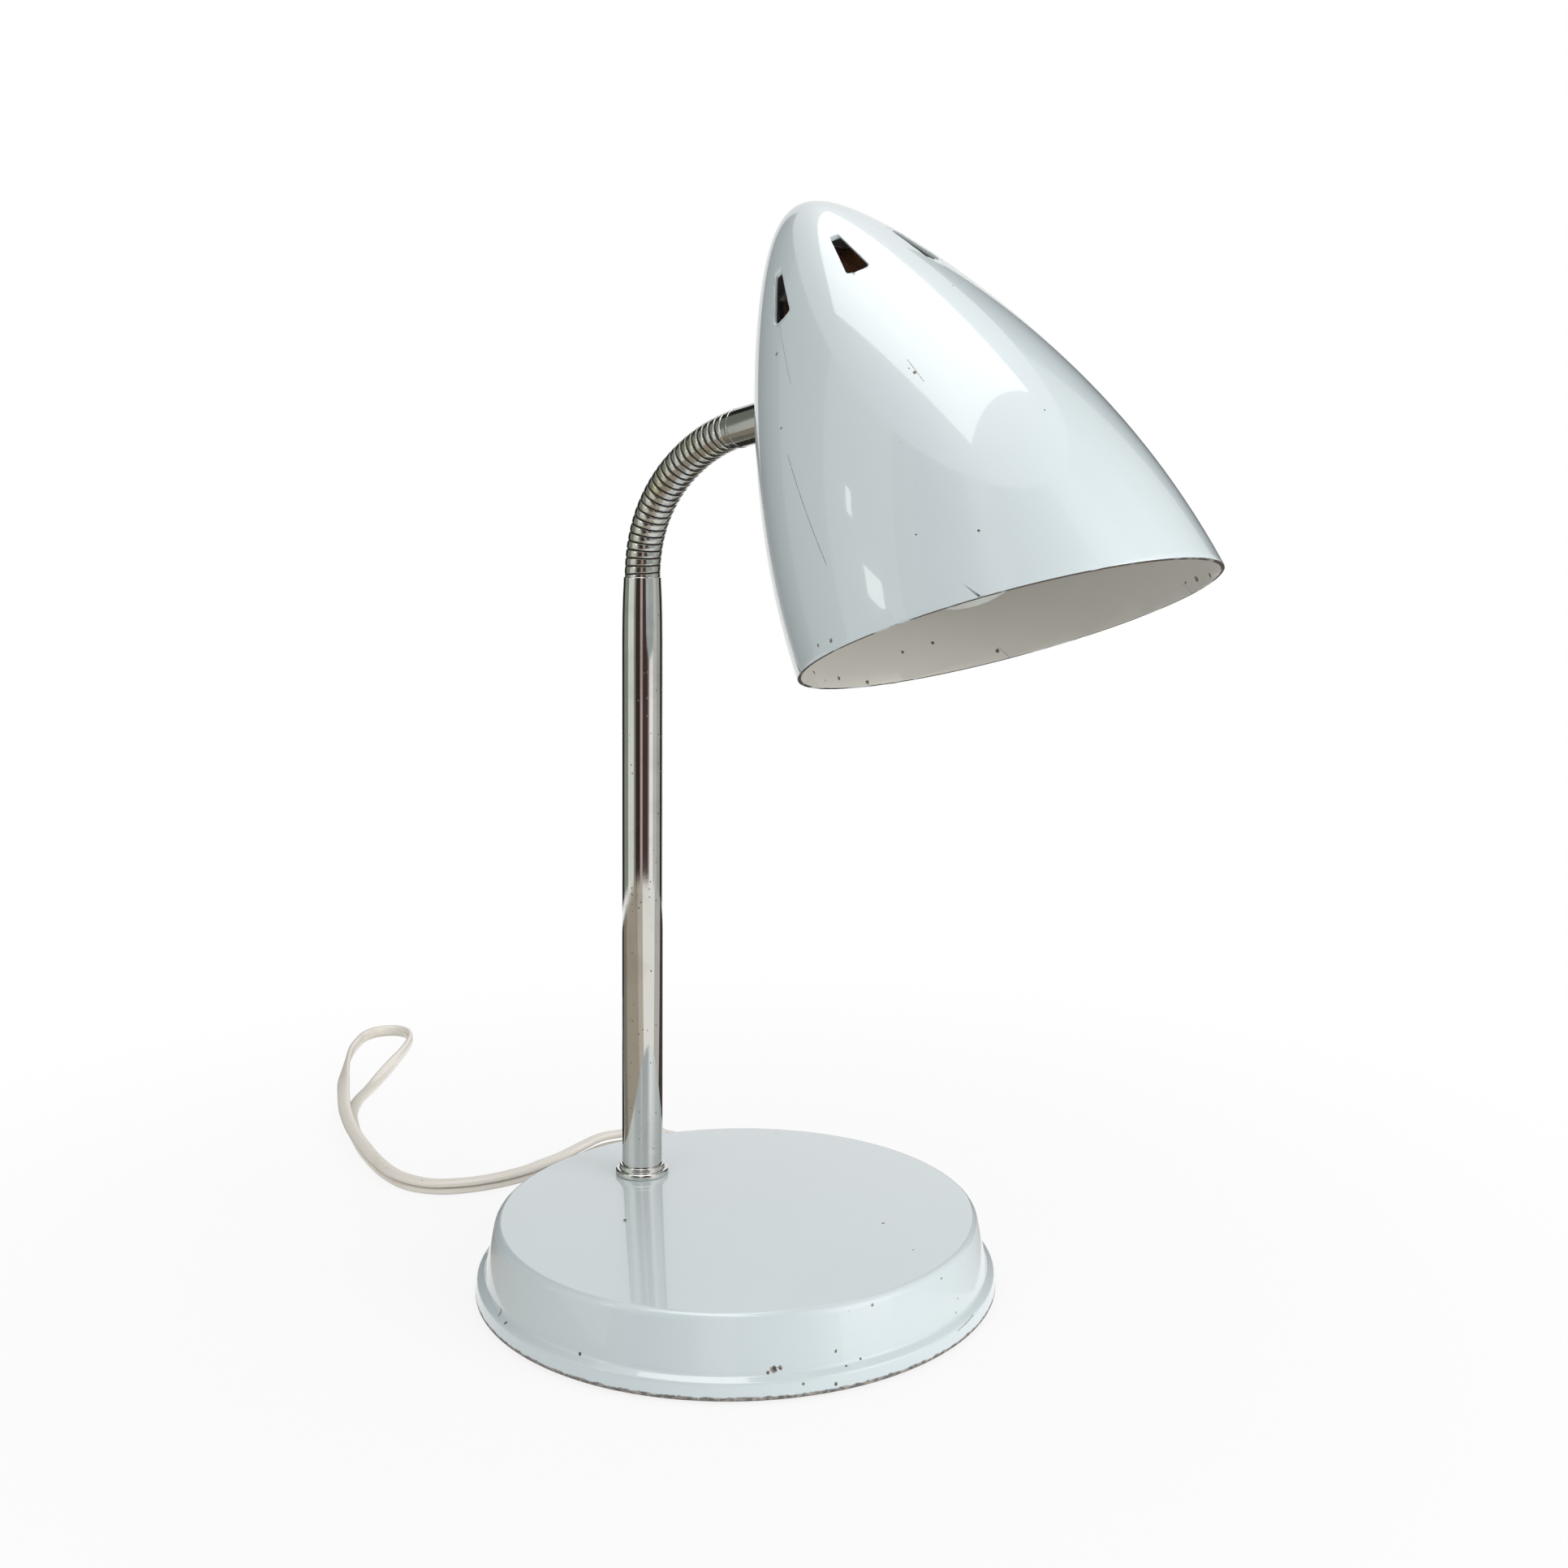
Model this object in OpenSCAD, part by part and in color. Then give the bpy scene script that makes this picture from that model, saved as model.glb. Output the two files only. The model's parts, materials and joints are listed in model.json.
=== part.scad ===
// Gooseneck desk lamp: pressed base, chrome stem, jointed gooseneck and a bullet shade.
// Millimetres, +Z up. The origin is the middle of the base, on the surface it stands on.
// The lamp faces -Y, and its stem stands behind the middle, on +Y.

/* [Base] */
// Outside diameter of the base over its rolled rim
base_d = 170; // [150:1:200]
// Height of the base cover from the underside of its rim to its flat top
cover_h = 22.5; // [20:0.5:30]
// Thickness of the base cover's sheet steel
cover_wall = 1.2; // [0.8:0.1:1.6]
// Radius of the rolled rim's section
rim_r = 3; // [2.4:0.1:3.6]
// How far the cover's side wall leans in from its foot to its top
cover_lean = 2.8; // [1:0.1:5]
// Radius of the cover's top edge
cover_corner = 2.6; // [1.5:0.1:4]
// Thickness of the felt pad under the base
felt_t = 1; // [0.8:0.1:2]
// Thickness of the base's bottom plate
bottom_t = 1.2; // [0.8:0.1:2]
// Distance of the cast ballast inside the base's outside
weight_in = 13; // [11.5:0.5:25]
// Thickness of the cast ballast
weight_t = 11; // [8:0.5:12]

/* [Stem] */
// Distance of the stem behind the middle of the base
stem_back = 47; // [35:1:55]
// Outside diameter of the stem tube
stem_d = 13.9; // [13:0.1:16]
// Wall of the stem tube
stem_wall = 1; // [0.8:0.1:1.2]
// Height of the stem's top above the surface
stem_top = 230.3; // [150:0.1:320]
// Length over which the stem's top is swaged down to the neck
swage_l = 22; // [12:1:40]
// Diameter of the collar at the stem's foot
collar_d = 18.5; // [18:0.1:24]
// Height of the collar at the stem's foot
collar_h = 3.65; // [3.2:0.05:8]

/* [Gooseneck] */
// Outside diameter of the flexible neck
neck_d = 12.2; // [11.8:0.1:13]
// Length of the flexible neck along its middle
neck_l = 72; // [66:1:84]
// Angle that the neck turns through at rest, from the stem to the shade
neck_turn = 80.5; // [40:0.5:85]
// Extra turn that the middle of the neck holds at rest
neck_bulge = 6; // [0:0.5:8]
// Radius of the ball that each link carries
ball_r = 4.4; // [4.2:0.05:4.5]
// Gap between the outer sleeves of two links
link_gap = 1.4; // [1.35:0.05:1.5]
// Running clearance of a ball in its socket
ball_fit = 0.06; // [0.03:0.01:0.1]
// Bore through the neck for the wires
wire_bore = 4.2; // [3:0.1:4.6]
// Outside diameter of the ferrule between the neck and the shade
ferrule_d = 12.6; // [12.2:0.1:15]
// Length of the ferrule from the neck to the shade's wall
ferrule_l = 23.5; // [18:0.5:40]

/* [Shade] */
// Radius of the shade at its mouth, outside
shade_r = 60.4; // [55:0.2:75]
// Length of the shade along its axis, from its tip to the front of its mouth
shade_l = 163; // [150:1:190]
// Wall of the shade's sheet steel
shade_wall = 1.2; // [0.8:0.1:1.4]
// Tilt of the shade's axis from straight down
shade_tilt = 32.6; // [0:0.2:50]
// Angle of the slanting cut of the shade's mouth
mouth_cut = 13.25; // [0:0.25:18]
// Distance from the shade's tip to the middle of its arm hole, along the axis
arm_hole_s = 50; // [48:1:60]
// Number of places round the shade for vents, with the rear one left for the arm
vent_n = 8; // [4:2:10]
// Distance of the vents' narrow end from the shade's tip, along the axis
vent_s = 30.2; // [28:0.2:34]
// Length of a vent along the shade's axis
vent_l = 12.6; // [8:0.2:13]
// Width of a vent at its wide end
vent_w = 6.6; // [4:0.2:9]

/* [Lampholder and bulb] */
// Outside diameter of the lampholder's skirt
holder_d = 39; // [36:0.5:42]
// Distance of the lampholder's bracket from the shade's tip, along the axis
bracket_s = 21; // [20:0.5:23]
// Thickness of the bracket's steel strip
strip_t = 1.5; // [1:0.1:1.8]
// Width of the bracket's steel strip
strip_w = 14; // [12:0.5:16]
// Outside diameter of the bulb's screw cap
cap_d = 26.2; // [25.8:0.1:26.6]
// Diameter of the bulb's glass
bulb_d = 55; // [45:1:58]
// Travel of the switch bar to each side
switch_travel = 3; // [2:0.5:3]

/* [Threaded tube] */
// Outside diameter of the threaded tubes
nipple_d = 9.8; // [9.4:0.1:10]
// Bore of the threaded tubes
nipple_bore = 7; // [6:0.1:7.4]
// Width across the flats of the nuts
nut_af = 14; // [13:0.5:17]
// Thickness of the nuts
nut_t = 3.6; // [3:0.2:4]
// Clearance between a tube and the hole it passes
hole_fit = 0.3; // [0.15:0.05:0.4]

/* [Cord] */
// Width of the flat cord
cord_w = 5.2; // [4.8:0.1:5.4]
// Thickness of the flat cord
cord_t = 2.6; // [2.4:0.1:2.7]
// Direction in which the cord leaves the base, from +X towards +Y
exit_angle = 60; // [50:1:70]
// Height of the cord's hole in the base cover
exit_z = 12.2; // [11.5:0.1:13]
// Length of the cord's sleeve outside the base
sleeve_l = 20; // [16:0.5:24]
// Direction of the middle of the coiled cord, from +X towards +Y
coil_angle = 54; // [52:1:56]
// Length of the straight sides of the coil
coil_side = 50; // [46:1:52]
// Radius of the outermost turn of the coil, to the cord's middle
coil_r = 15.3; // [15:0.1:15.6]
// Thickness of the plug's body
plug_t = 10; // [9:0.2:12]
// Width of the plug's body at its pins
plug_w = 25; // [24.5:0.5:27]
// Length of the plug's body
plug_l = 29; // [27:0.5:36]

/* [Hidden] */
$fn = 96;
face_gap = 0.05;              // between two flat faces that bear on each other
slack = 1;                    // how far a cutter passes the surface it cuts
paint = "lightsteelblue";
steel = "silver";
bakelite = "saddlebrown";
flex = "ivory";

// base
rim_z = felt_t - 0.2;         // underside of the rolled rim
top_z = rim_z + cover_h;      // flat top of the cover
rim_mid_r = base_d / 2 - rim_r;
wall_foot_r = rim_mid_r - 0.1;
wall_top_r = wall_foot_r - cover_lean;
crease_z = rim_z + 2 * rim_r;
under_z = top_z - cover_wall; // underside of the cover's top
plate_z = felt_t;
plate_r = rim_mid_r - 2.3;
weight_z = under_z - weight_t;
weight_d = base_d - 2 * weight_in;
exit_dir = [cos(exit_angle), sin(exit_angle), 0];
hole_r = 4;                   // cord hole in the cover
wall_at_exit = wall_foot_r - cover_lean * (exit_z - crease_z) / (top_z - cover_corner - crease_z);

// links of the neck
link_n = 12;
pitch = neck_l / link_n;
sleeve_half = (pitch - link_gap) / 2;
skirt_r = ball_r + 0.95;
shell_r = skirt_r + 0.12;

// shade
swell = 0.71;
taper = 0.61;
mouth_s = shade_l - shade_r * tan(mouth_cut); // where the cut crosses the axis
arm_hole_r = nipple_d / 2 + hole_fit;

function polar(r, a) = [r * cos(a), r * sin(a)];
function unit(v) = v / norm(v);
function arc(c, r, a0, a1, n) = [for (i = [0:n]) c + polar(r, a0 + (a1 - a0) * i / n)];

// A path moved to its right by d.
function right_of(p, i) =
    let (a = p[max(i - 1, 0)], b = p[min(i + 1, len(p) - 1)], t = unit(b - a)) [t[1], -t[0]];
function inset(p, d) = [for (i = [0:len(p) - 1]) p[i] + d * right_of(p, i)];
function reversed(p) = [for (i = [len(p) - 1:-1:0]) p[i]];

// A ring of material around Z, from an outline of radius and height.
module ring(points) {
    rotate_extrude() polygon(points);
}

module tube(r_out, r_in, h) {
    difference() {
        cylinder(r = r_out, h = h);
        translate([0, 0, -slack]) cylinder(r = r_in, h = h + 2 * slack);
    }
}

module hex_nut(af, h, bore_r) {
    difference() {
        cylinder(r = af / 2 / cos(30), h = h, $fn = 6);
        translate([0, 0, -slack]) cylinder(r = bore_r, h = h + 2 * slack);
    }
}

// ---------------------------------------------------------------- base

module at_stem(z) {
    translate([0, stem_back, z]) children();
}

module at_exit(z) {
    rotate([0, 0, exit_angle]) translate([0, 0, z]) rotate([0, 90, 0]) children();
}

cover_path = concat(
    [[0, top_z]],
    arc([wall_top_r - cover_corner, top_z - cover_corner], cover_corner, 90, 0, 6),
    [[wall_foot_r, crease_z + 0.8]],
    arc([rim_mid_r, rim_z + rim_r], rim_r, 75, -130, 16));

module base_cover() {
    color(paint) difference() {
        ring(concat(cover_path, reversed(concat([[0, under_z]],
            [for (i = [1:len(cover_path) - 1]) cover_path[i] + cover_wall * right_of(cover_path, i)]))));
        at_stem(under_z - slack) cylinder(r = nipple_d / 2 + hole_fit, h = cover_wall + 2 * slack);
        at_exit(exit_z) cylinder(r = hole_r, h = base_d / 2);
    }
}

boss_r = 8;
module base_weight() {
    color("dimgray") difference() {
        union() {
            translate([0, 0, weight_z]) ring([[0, 0], [weight_d / 2 - 2, 0], [weight_d / 2, 2],
                [weight_d / 2, weight_t - 3.5], [weight_d / 2 - 3.5, weight_t - face_gap],
                [0, weight_t - face_gap]]);
            translate([0, 0, plate_z + bottom_t + face_gap]) cylinder(r = boss_r, h = weight_z - plate_z);
        }
        at_stem(weight_z - slack) cylinder(r = nipple_d / 2 + hole_fit, h = weight_t + 2 * slack);
        translate([0, 0, plate_z]) cylinder(r = screw_r + hole_fit, h = screw_l + slack);
        // notch that lets the cord down from its hole to the underside
        rotate([0, 0, exit_angle]) translate([weight_d / 2 - notch_l, -notch_w / 2, weight_z - slack])
            cube([notch_l + slack, notch_w, exit_z - weight_z + notch_w / 2 + slack]);
        for (x = [-clamp_pitch / 2, clamp_pitch / 2]) at_clamp(x) translate([0, 0, -slack])
            cylinder(r = clamp_screw_r + 0.1, h = clamp_screw_l + slack);
    }
}

notch_w = 11;
notch_l = 20;
screw_r = 1.9;
screw_l = 9;
clamp_pitch = 18;
clamp_screw_r = 1.4;
clamp_screw_l = 6;
clamp_at = 40;                // distance of the clamp from the middle of the base

// A place on the ballast's underside, x to the side of the cord's way in.
module at_clamp(x) {
    rotate([0, 0, exit_angle]) translate([clamp_at, x, weight_z]) children();
}

module bottom_plate() {
    color(steel) difference() {
        translate([0, 0, plate_z + face_gap]) cylinder(r = plate_r, h = bottom_t - face_gap);
        translate([0, 0, plate_z - slack]) cylinder(r = screw_r + hole_fit, h = bottom_t + 2 * slack);
    }
}

// The felt has a blind pocket that the screw's head lies in.
module felt_pad() {
    color("darkolivegreen") difference() {
        cylinder(r = plate_r - 1, h = felt_t);
        translate([0, 0, felt_t - head_t - 0.1]) cylinder(r = screw_head_r + 0.4, h = head_t + slack);
    }
}

screw_head_r = 3.8;
head_t = 0.6;
module bottom_screw() {
    color(steel) {
        translate([0, 0, plate_z - head_t]) cylinder(r = screw_head_r, h = head_t);
        translate([0, 0, plate_z - 0.01]) cylinder(r = screw_r, h = screw_l);
    }
}

bush_bore_r = cord_w / 2 + 0.05;
bush_in = wall_at_exit - cover_wall - 3.6; // inner end of the cord's bushing
module cord_bushing() {
    color("gainsboro") at_exit(exit_z) difference() {
        ring([[0, bush_in], [hole_r + 0.9, bush_in], [hole_r + 0.9, bush_in + 1.6],
            [hole_r - 0.1, bush_in + 1.6],
            [hole_r - 0.1, wall_at_exit + 1], [hole_r + 0.6, wall_at_exit + 1.3],
            [hole_r + 0.6, wall_at_exit + 2.4], [hole_r + 0.2, wall_at_exit + 3.2],
            [bush_bore_r + 0.7, wall_at_exit + sleeve_l], [0, wall_at_exit + sleeve_l]]);
        cylinder(r = bush_bore_r, h = base_d);
    }
}

module cord_clamp() {
    color(steel) rotate([0, 0, exit_angle]) difference() {
        translate([clamp_at - 4, -clamp_pitch / 2 - 4, weight_z - clamp_drop]) union() {
            cube([8, clamp_pitch + 8, 1]);
            for (y = [0, clamp_pitch + 1]) translate([0, y, 0]) cube([8, 7, clamp_drop - face_gap]);
        }
        for (x = [-clamp_pitch / 2, clamp_pitch / 2]) translate([clamp_at, x, weight_z - clamp_drop - slack])
            cylinder(r = clamp_screw_r + 0.1, h = clamp_drop + 2 * slack);
    }
}

clamp_drop = 4.4;
module clamp_screws() {
    color(steel) for (x = [-clamp_pitch / 2, clamp_pitch / 2]) at_clamp(x) {
        translate([0, 0, -clamp_drop - 1.4]) cylinder(r = 2.6, h = 1.35);
        translate([0, 0, -clamp_drop - 0.1]) cylinder(r = clamp_screw_r, h = clamp_screw_l + clamp_drop - 0.2);
    }
}

nipple_low = weight_z - 1 - nut_t - 0.6;
bush_h = 12;
module base_nipple() {
    color("goldenrod") at_stem(nipple_low) tube(nipple_d / 2, nipple_bore / 2, top_z + bush_h - 2 - nipple_low);
}

module base_washer() {
    color(steel) at_stem(weight_z - 1) tube(9.5, nipple_d / 2 + hole_fit, 1 - face_gap);
}

module base_nut() {
    color(steel) at_stem(weight_z - 1 - nut_t) hex_nut(nut_af, nut_t - face_gap, nipple_d / 2 + 0.03);
}

// ---------------------------------------------------------------- stem

stem_in_r = stem_d / 2 - stem_wall;
stem_low = top_z + face_gap;
stem_lip = 0.3;               // how far the stem's top stands out past the neck
function stem_r(z) = let (u = max(0, (z - (stem_top - swage_l)) / swage_l))
    stem_d / 2 - (stem_d / 2 - neck_d / 2 - stem_lip) * u * u;
stem_rows = [stem_low, for (i = [0:6]) stem_top - swage_l + swage_l * i / 6];
module stem() {
    color(steel) at_stem(0) ring(concat(
        [for (z = stem_rows) [stem_r(z) - stem_wall, z]],
        reversed([for (z = stem_rows) [stem_r(z), z]])));
}

// Brass plug in the stem's foot, tapped for the threaded tube.
module stem_bush() {
    color("goldenrod") at_stem(stem_low) tube(stem_in_r - 0.04, nipple_d / 2 + 0.03, bush_h);
}

module stem_collar() {
    bore = stem_d / 2 + 0.05;
    flange = max(collar_d / 2, bore + 2);
    color(steel) at_stem(stem_low) ring(concat(
        [[bore, 0], [flange - 0.4, 0]],
        arc([flange - 1, 1], 1, -45, 80, 6),
        [[bore + 0.9, 2.05], [bore + 0.9, collar_h - 0.5]],
        arc([bore + 0.4, collar_h - 0.5], 0.5, 0, 90, 4),
        [[bore, collar_h]]));
}

// ---------------------------------------------------------------- gooseneck

// Turn of the neck's middle from the vertical, at a share t of its length.
function turn_at(t) = neck_turn * t + neck_bulge * (1 - cos(360 * t)) / 2;
function toward(a) = [0, -sin(a), cos(a)];
function link_turn(k) = turn_at(k / link_n);
function link_mid(k) = k == 0 ? [0, stem_back, stem_top]
    : link_mid(k - 1) + pitch / 2 * (toward(link_turn(k - 1)) + toward(link_turn(k)));

module at_link(k) {
    translate(link_mid(k)) rotate([link_turn(k), 0, 0]) children();
}

// The ball that a link carries above its middle, with its neck.
module link_ball() {
    intersection() {
        translate([0, 0, pitch / 2]) sphere(r = ball_r);
        translate([0, 0, pitch / 2 - 2.6]) cylinder(r = ball_r + slack, h = 4.2);
    }
}

// The outer sleeve above a link's middle, open inside for the next link's skirt.
module upper_sleeve(r) {
    room = pitch / 2 - 2.45;
    ring(concat([[0, 0], [r - 0.25, 0], [r, 0.25]],
        arc([r - 0.35, sleeve_half - 0.35], 0.35, 0, 90, 3),
        [[shell_r, sleeve_half], [shell_r, room], [0, room]]));
}

// The outer sleeve below a link's middle, with the skirt that wraps the ball below.
module lower_sleeve(r) {
    union() {
        ring(concat([[0, 0], [0, -sleeve_half], [skirt_r - 0.4, -sleeve_half]],
            arc([r - 0.35, -sleeve_half + 0.35], 0.35, -90, 0, 3),
            [[r, -0.25], [r - 0.25, 0]]));
        intersection() {
            translate([0, 0, -pitch / 2]) sphere(r = skirt_r);
            translate([0, 0, -pitch / 2 - 1.2]) cylinder(r = skirt_r, h = pitch / 2 - sleeve_half + 1.4);
        }
    }
}

module socket_cut() {
    translate([0, 0, -pitch / 2]) sphere(r = ball_r + ball_fit);
}

module wire_way(z0, z1) {
    translate([0, 0, z0]) cylinder(r = wire_bore / 2, h = z1 - z0);
}

module neck_link(k) {
    color(steel) at_link(k) difference() {
        union() {
            difference() {
                union() {
                    upper_sleeve(neck_d / 2);
                    lower_sleeve(neck_d / 2);
                }
                socket_cut();
            }
            link_ball();
        }
        wire_way(-pitch, pitch * 2);
    }
}

shank_l = 14;
module neck_socket() {
    color(steel) at_link(0) difference() {
        union() {
            translate([0, 0, face_gap]) upper_sleeve(neck_d / 2);
            link_ball();
            translate([0, 0, -shank_l]) cylinder(r = stem_r(stem_top) - stem_wall - 0.04, h = shank_l + 0.2);
        }
        wire_way(-shank_l - slack, pitch * 2);
    }
}

// ---------------------------------------------------------------- shade

// Outer radius of the shade at a distance s below its tip.
function shade_at(s) = let (t = max(s, 0) / shade_l)
    shade_r * sqrt(t) * exp(swell * (t - 1) - taper * (t * t - 1));
function flare_at(s) = atan(shade_at(s + 0.5) - shade_at(s - 0.5));

// The arm's frame has its origin on the shade's wall and its Z along the arm, into the shade.
arm_turn = neck_turn;
arm_foot = link_mid(link_n) + ferrule_l * toward(arm_turn);
module at_arm(z) {
    translate(arm_foot) rotate([arm_turn, 0, 0]) translate([0, 0, z]) children();
}

// The shade's frame has its origin at the tip and its Z along the axis, from the mouth to the tip.
tip_from_hole = [0, -shade_at(arm_hole_s), arm_hole_s];
module in_shade() {
    translate(arm_foot) rotate([-shade_tilt, 0, 0]) translate(tip_from_hole) children();
}

// Rows of the shade's outline: close together at the tip, where it curves most.
shade_rows = 26;
function row_s(i) = shade_l * 1.02 * pow(i / shade_rows, 1.8);
shade_path = [for (i = [0:shade_rows]) [shade_at(row_s(i)), -row_s(i)]];
shade_inner = concat([[0, -shade_wall]], [for (i = [2:shade_rows])
    shade_path[i] + shade_wall * right_of(shade_path, i)]);

// A vent's outline, with its narrow end up: round corners and a bowed wide end.
vent_r = 0.9;
vent_bow = 0.5;               // how far the wide end bows out between its corners
module vent_cut(a) {
    half = vent_w / 2 - vent_r;
    slope = flare_at(vent_s + vent_l / 2);
    mid = vent_s + vent_l / 2;
    run = vent_l / cos(slope);
    rotate([0, 0, a]) translate([0, -shade_at(mid), -mid]) rotate([slope, 0, 0]) rotate([90, 0, 0])
        translate([0, 0, -8]) linear_extrude(16) polygon(concat(
            arc([0.3, run / 2 - vent_r], vent_r, 15, 90, 3), arc([-0.3, run / 2 - vent_r], vent_r, 90, 165, 3),
            arc([-half, -run / 2 + vent_r + vent_bow], vent_r, 165, 250, 4),
            [[-half / 2, -run / 2 + 0.15], [0, -run / 2], [half / 2, -run / 2 + 0.15]],
            arc([half, -run / 2 + vent_r + vent_bow], vent_r, 290, 375, 4)));
}

module shade() {
    color(paint) in_shade() difference() {
        ring(concat(shade_path, reversed(shade_inner)));
        // the slanting mouth
        translate([0, 0, -mouth_s]) rotate([mouth_cut, 0, 0]) translate([-2 * shade_r, -2 * shade_r, -shade_l])
            cube([4 * shade_r, 4 * shade_r, shade_l]);
        for (i = [0:vent_n - 1]) if (2 * i != vent_n) vent_cut(360 / vent_n * i);
        translate([0, shade_at(arm_hole_s), -arm_hole_s]) rotate([90 + flare_at(arm_hole_s), 0, 0])
            translate([0, 0, -8]) cylinder(r = arm_hole_r, h = 16);
    }
}

saddle_gap = 0.12;
// The solid inside the shade's outside, grown by d; a negative d shrinks it.
module shade_core(d) {
    first = d < 0 ? 2 : 1;
    in_shade() ring(concat([[0, d]],
        [for (i = [first:shade_rows]) shade_path[i] - d * right_of(shade_path, i)],
        [[0, shade_path[shade_rows][1]]]));
}

module neck_ferrule() {
    r = ferrule_d / 2;
    color(steel) difference() {
        union() {
            at_link(link_n) difference() {
                lower_sleeve(neck_d / 2);
                socket_cut();
            }
            at_link(link_n) ring([[0, -0.2], [r - 0.7, -0.2], [r - 0.7, 0.5], [r, 1], [r, ferrule_l - 7],
                [r - 0.4, ferrule_l - 6], [r + 1, ferrule_l - 4], [r + 1.8, ferrule_l - 1.5],
                [r + 1.8, ferrule_l + 3], [0, ferrule_l + 3]]);
        }
        shade_core(saddle_gap);
        at_link(link_n) wire_way(-pitch, ferrule_l);
        at_arm(-nipple_in) cylinder(r = nipple_d / 2 + 0.03, h = nipple_in + 4);
    }
}

nipple_in = 9;
arm_stack = 3.6;              // from the wall's outside to the bracket's near face
module arm_nipple() {
    color("goldenrod") at_arm(-nipple_in + 0.1) tube(nipple_d / 2, nipple_bore / 2,
        nipple_in + arm_stack + strip_t + nut_t + 0.6);
}

// Saddle washer inside the shade, between the curved wall and the flat bracket.
module arm_washer() {
    color(steel) intersection() {
        at_arm(0) tube(strip_w / 2 - 0.2, nipple_d / 2 + hole_fit, arm_stack - face_gap);
        shade_core(-shade_wall - saddle_gap);
    }
}

module arm_nut() {
    color(steel) at_arm(arm_stack + strip_t + face_gap) hex_nut(nut_af, nut_t - face_gap, nipple_d / 2 + 0.03);
}

// ---------------------------------------------------------------- lampholder

// The bracket is one strip: a leg along the wall and a leg across the axis.
// Its outline is drawn in the shade's YZ plane, as distance behind the axis and height.
leg_turn = 90 - flare_at(arm_hole_s);
leg_dir = [cos(leg_turn), -sin(leg_turn)];       // down the wall
wall_out = [cos(flare_at(arm_hole_s)), sin(flare_at(arm_hole_s))];
hole_yz = [shade_at(arm_hole_s), -arm_hole_s];
leg_mid = hole_yz - (arm_stack + strip_t / 2) * wall_out;
strip_path = [leg_mid + 9 * leg_dir, leg_mid - 8.5 * leg_dir, leg_mid - 8.5 * leg_dir + [-3.6, 4.6],
    [18.4, -bracket_s - strip_t - 1.6], [16.8, -bracket_s - strip_t / 2], [-9, -bracket_s - strip_t / 2]];
module holder_bracket() {
    left = [for (i = [0:len(strip_path) - 1]) strip_path[i] + strip_t / 2 * right_of(strip_path, i)];
    right = [for (i = [0:len(strip_path) - 1]) strip_path[i] - strip_t / 2 * right_of(strip_path, i)];
    color(steel) in_shade() difference() {
        translate([-strip_w / 2, 0, 0]) rotate([90, 0, 90]) linear_extrude(strip_w)
            polygon(concat(left, reversed(right)));
        translate([0, 0, -bracket_s - 4]) cylinder(r = nipple_d / 2 + hole_fit, h = 8);
        translate([0, shade_at(arm_hole_s), -arm_hole_s]) rotate([90 + flare_at(arm_hole_s), 0, 0])
            cylinder(r = nipple_d / 2 + hole_fit, h = 12);
    }
}

cap_s = bracket_s + strip_t + face_gap;          // top of the lampholder
skirt_s = cap_s + 24;                            // where the cap meets the skirt
mouth_of_holder_s = skirt_s + 25;
holder_r = holder_d / 2;
module holder_nipple() {
    color("goldenrod") in_shade() translate([0, 0, -cap_s - 7]) tube(nipple_d / 2, nipple_bore / 2,
        7 + strip_t + nut_t + 0.6);
}

module holder_nut() {
    color(steel) in_shade() translate([0, 0, -bracket_s + face_gap])
        hex_nut(nut_af, nut_t - face_gap, nipple_d / 2 + 0.03);
}

bar_s = skirt_s - 6;
bar_r = 2;
module holder_cap() {
    wall = 2.4;
    color(bakelite) in_shade() difference() {
        ring(concat([[0, -cap_s], [9.5, -cap_s], [9.5, -cap_s - 2]],
            arc([9.5, -cap_s - 12], 9.5, 80, 5, 7),
            [[holder_r - 0.3, -skirt_s + 5], [holder_r - 0.3, -skirt_s], [holder_r - 0.3 - wall, -skirt_s],
             [holder_r - 0.3 - wall, -skirt_s + 4]],
            arc([9.5, -cap_s - 12], 7.1, 5, 80, 7),
            [[0, -cap_s - 7.2]]));
        translate([0, 0, -cap_s - 9]) cylinder(r = nipple_d / 2 + 0.03, h = 10);
        translate([0, 0, -bar_s]) rotate([0, 90, 0]) translate([0, 0, -30]) cylinder(r = bar_r + 0.08, h = 60);
    }
}

module holder_skirt() {
    color(bakelite) in_shade() difference() {
        ring([[cap_d / 2 + 0.9, -skirt_s - face_gap], [holder_r, -skirt_s - face_gap], [holder_r, -skirt_s - 5],
            [holder_r - 1, -skirt_s - 6], [holder_r - 1, -mouth_of_holder_s + 3],
            [holder_r, -mouth_of_holder_s + 2], [holder_r, -mouth_of_holder_s],
            [cap_d / 2 + 0.9, -mouth_of_holder_s]]);
    }
}

core_t = 5;
module holder_core() {
    color("whitesmoke") in_shade() translate([0, 0, -skirt_s - core_t]) difference() {
        cylinder(r = cap_d / 2 + 0.85, h = core_t + 2);
        for (x = [-7, 7]) translate([x, 0, -slack]) cylinder(r = 1.6, h = core_t + 2 + 2 * slack);
    }
}

module holder_shell() {
    color("gold") in_shade() translate([0, 0, -mouth_of_holder_s + 1])
        tube(cap_d / 2 + 0.8, cap_d / 2 + 0.3, mouth_of_holder_s - skirt_s - core_t - 1 - face_gap);
}

// Sprung brass tongue that touches the bulb's end contact.
module centre_contact() {
    color("gold") in_shade() translate([0, 0, -skirt_s - core_t - face_gap]) union() {
        translate([-3, -3, -0.6]) cube([6, 6, 0.6]);
        translate([0, 0, -1.6]) cylinder(r = 2, h = 1.2);
    }
}

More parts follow.
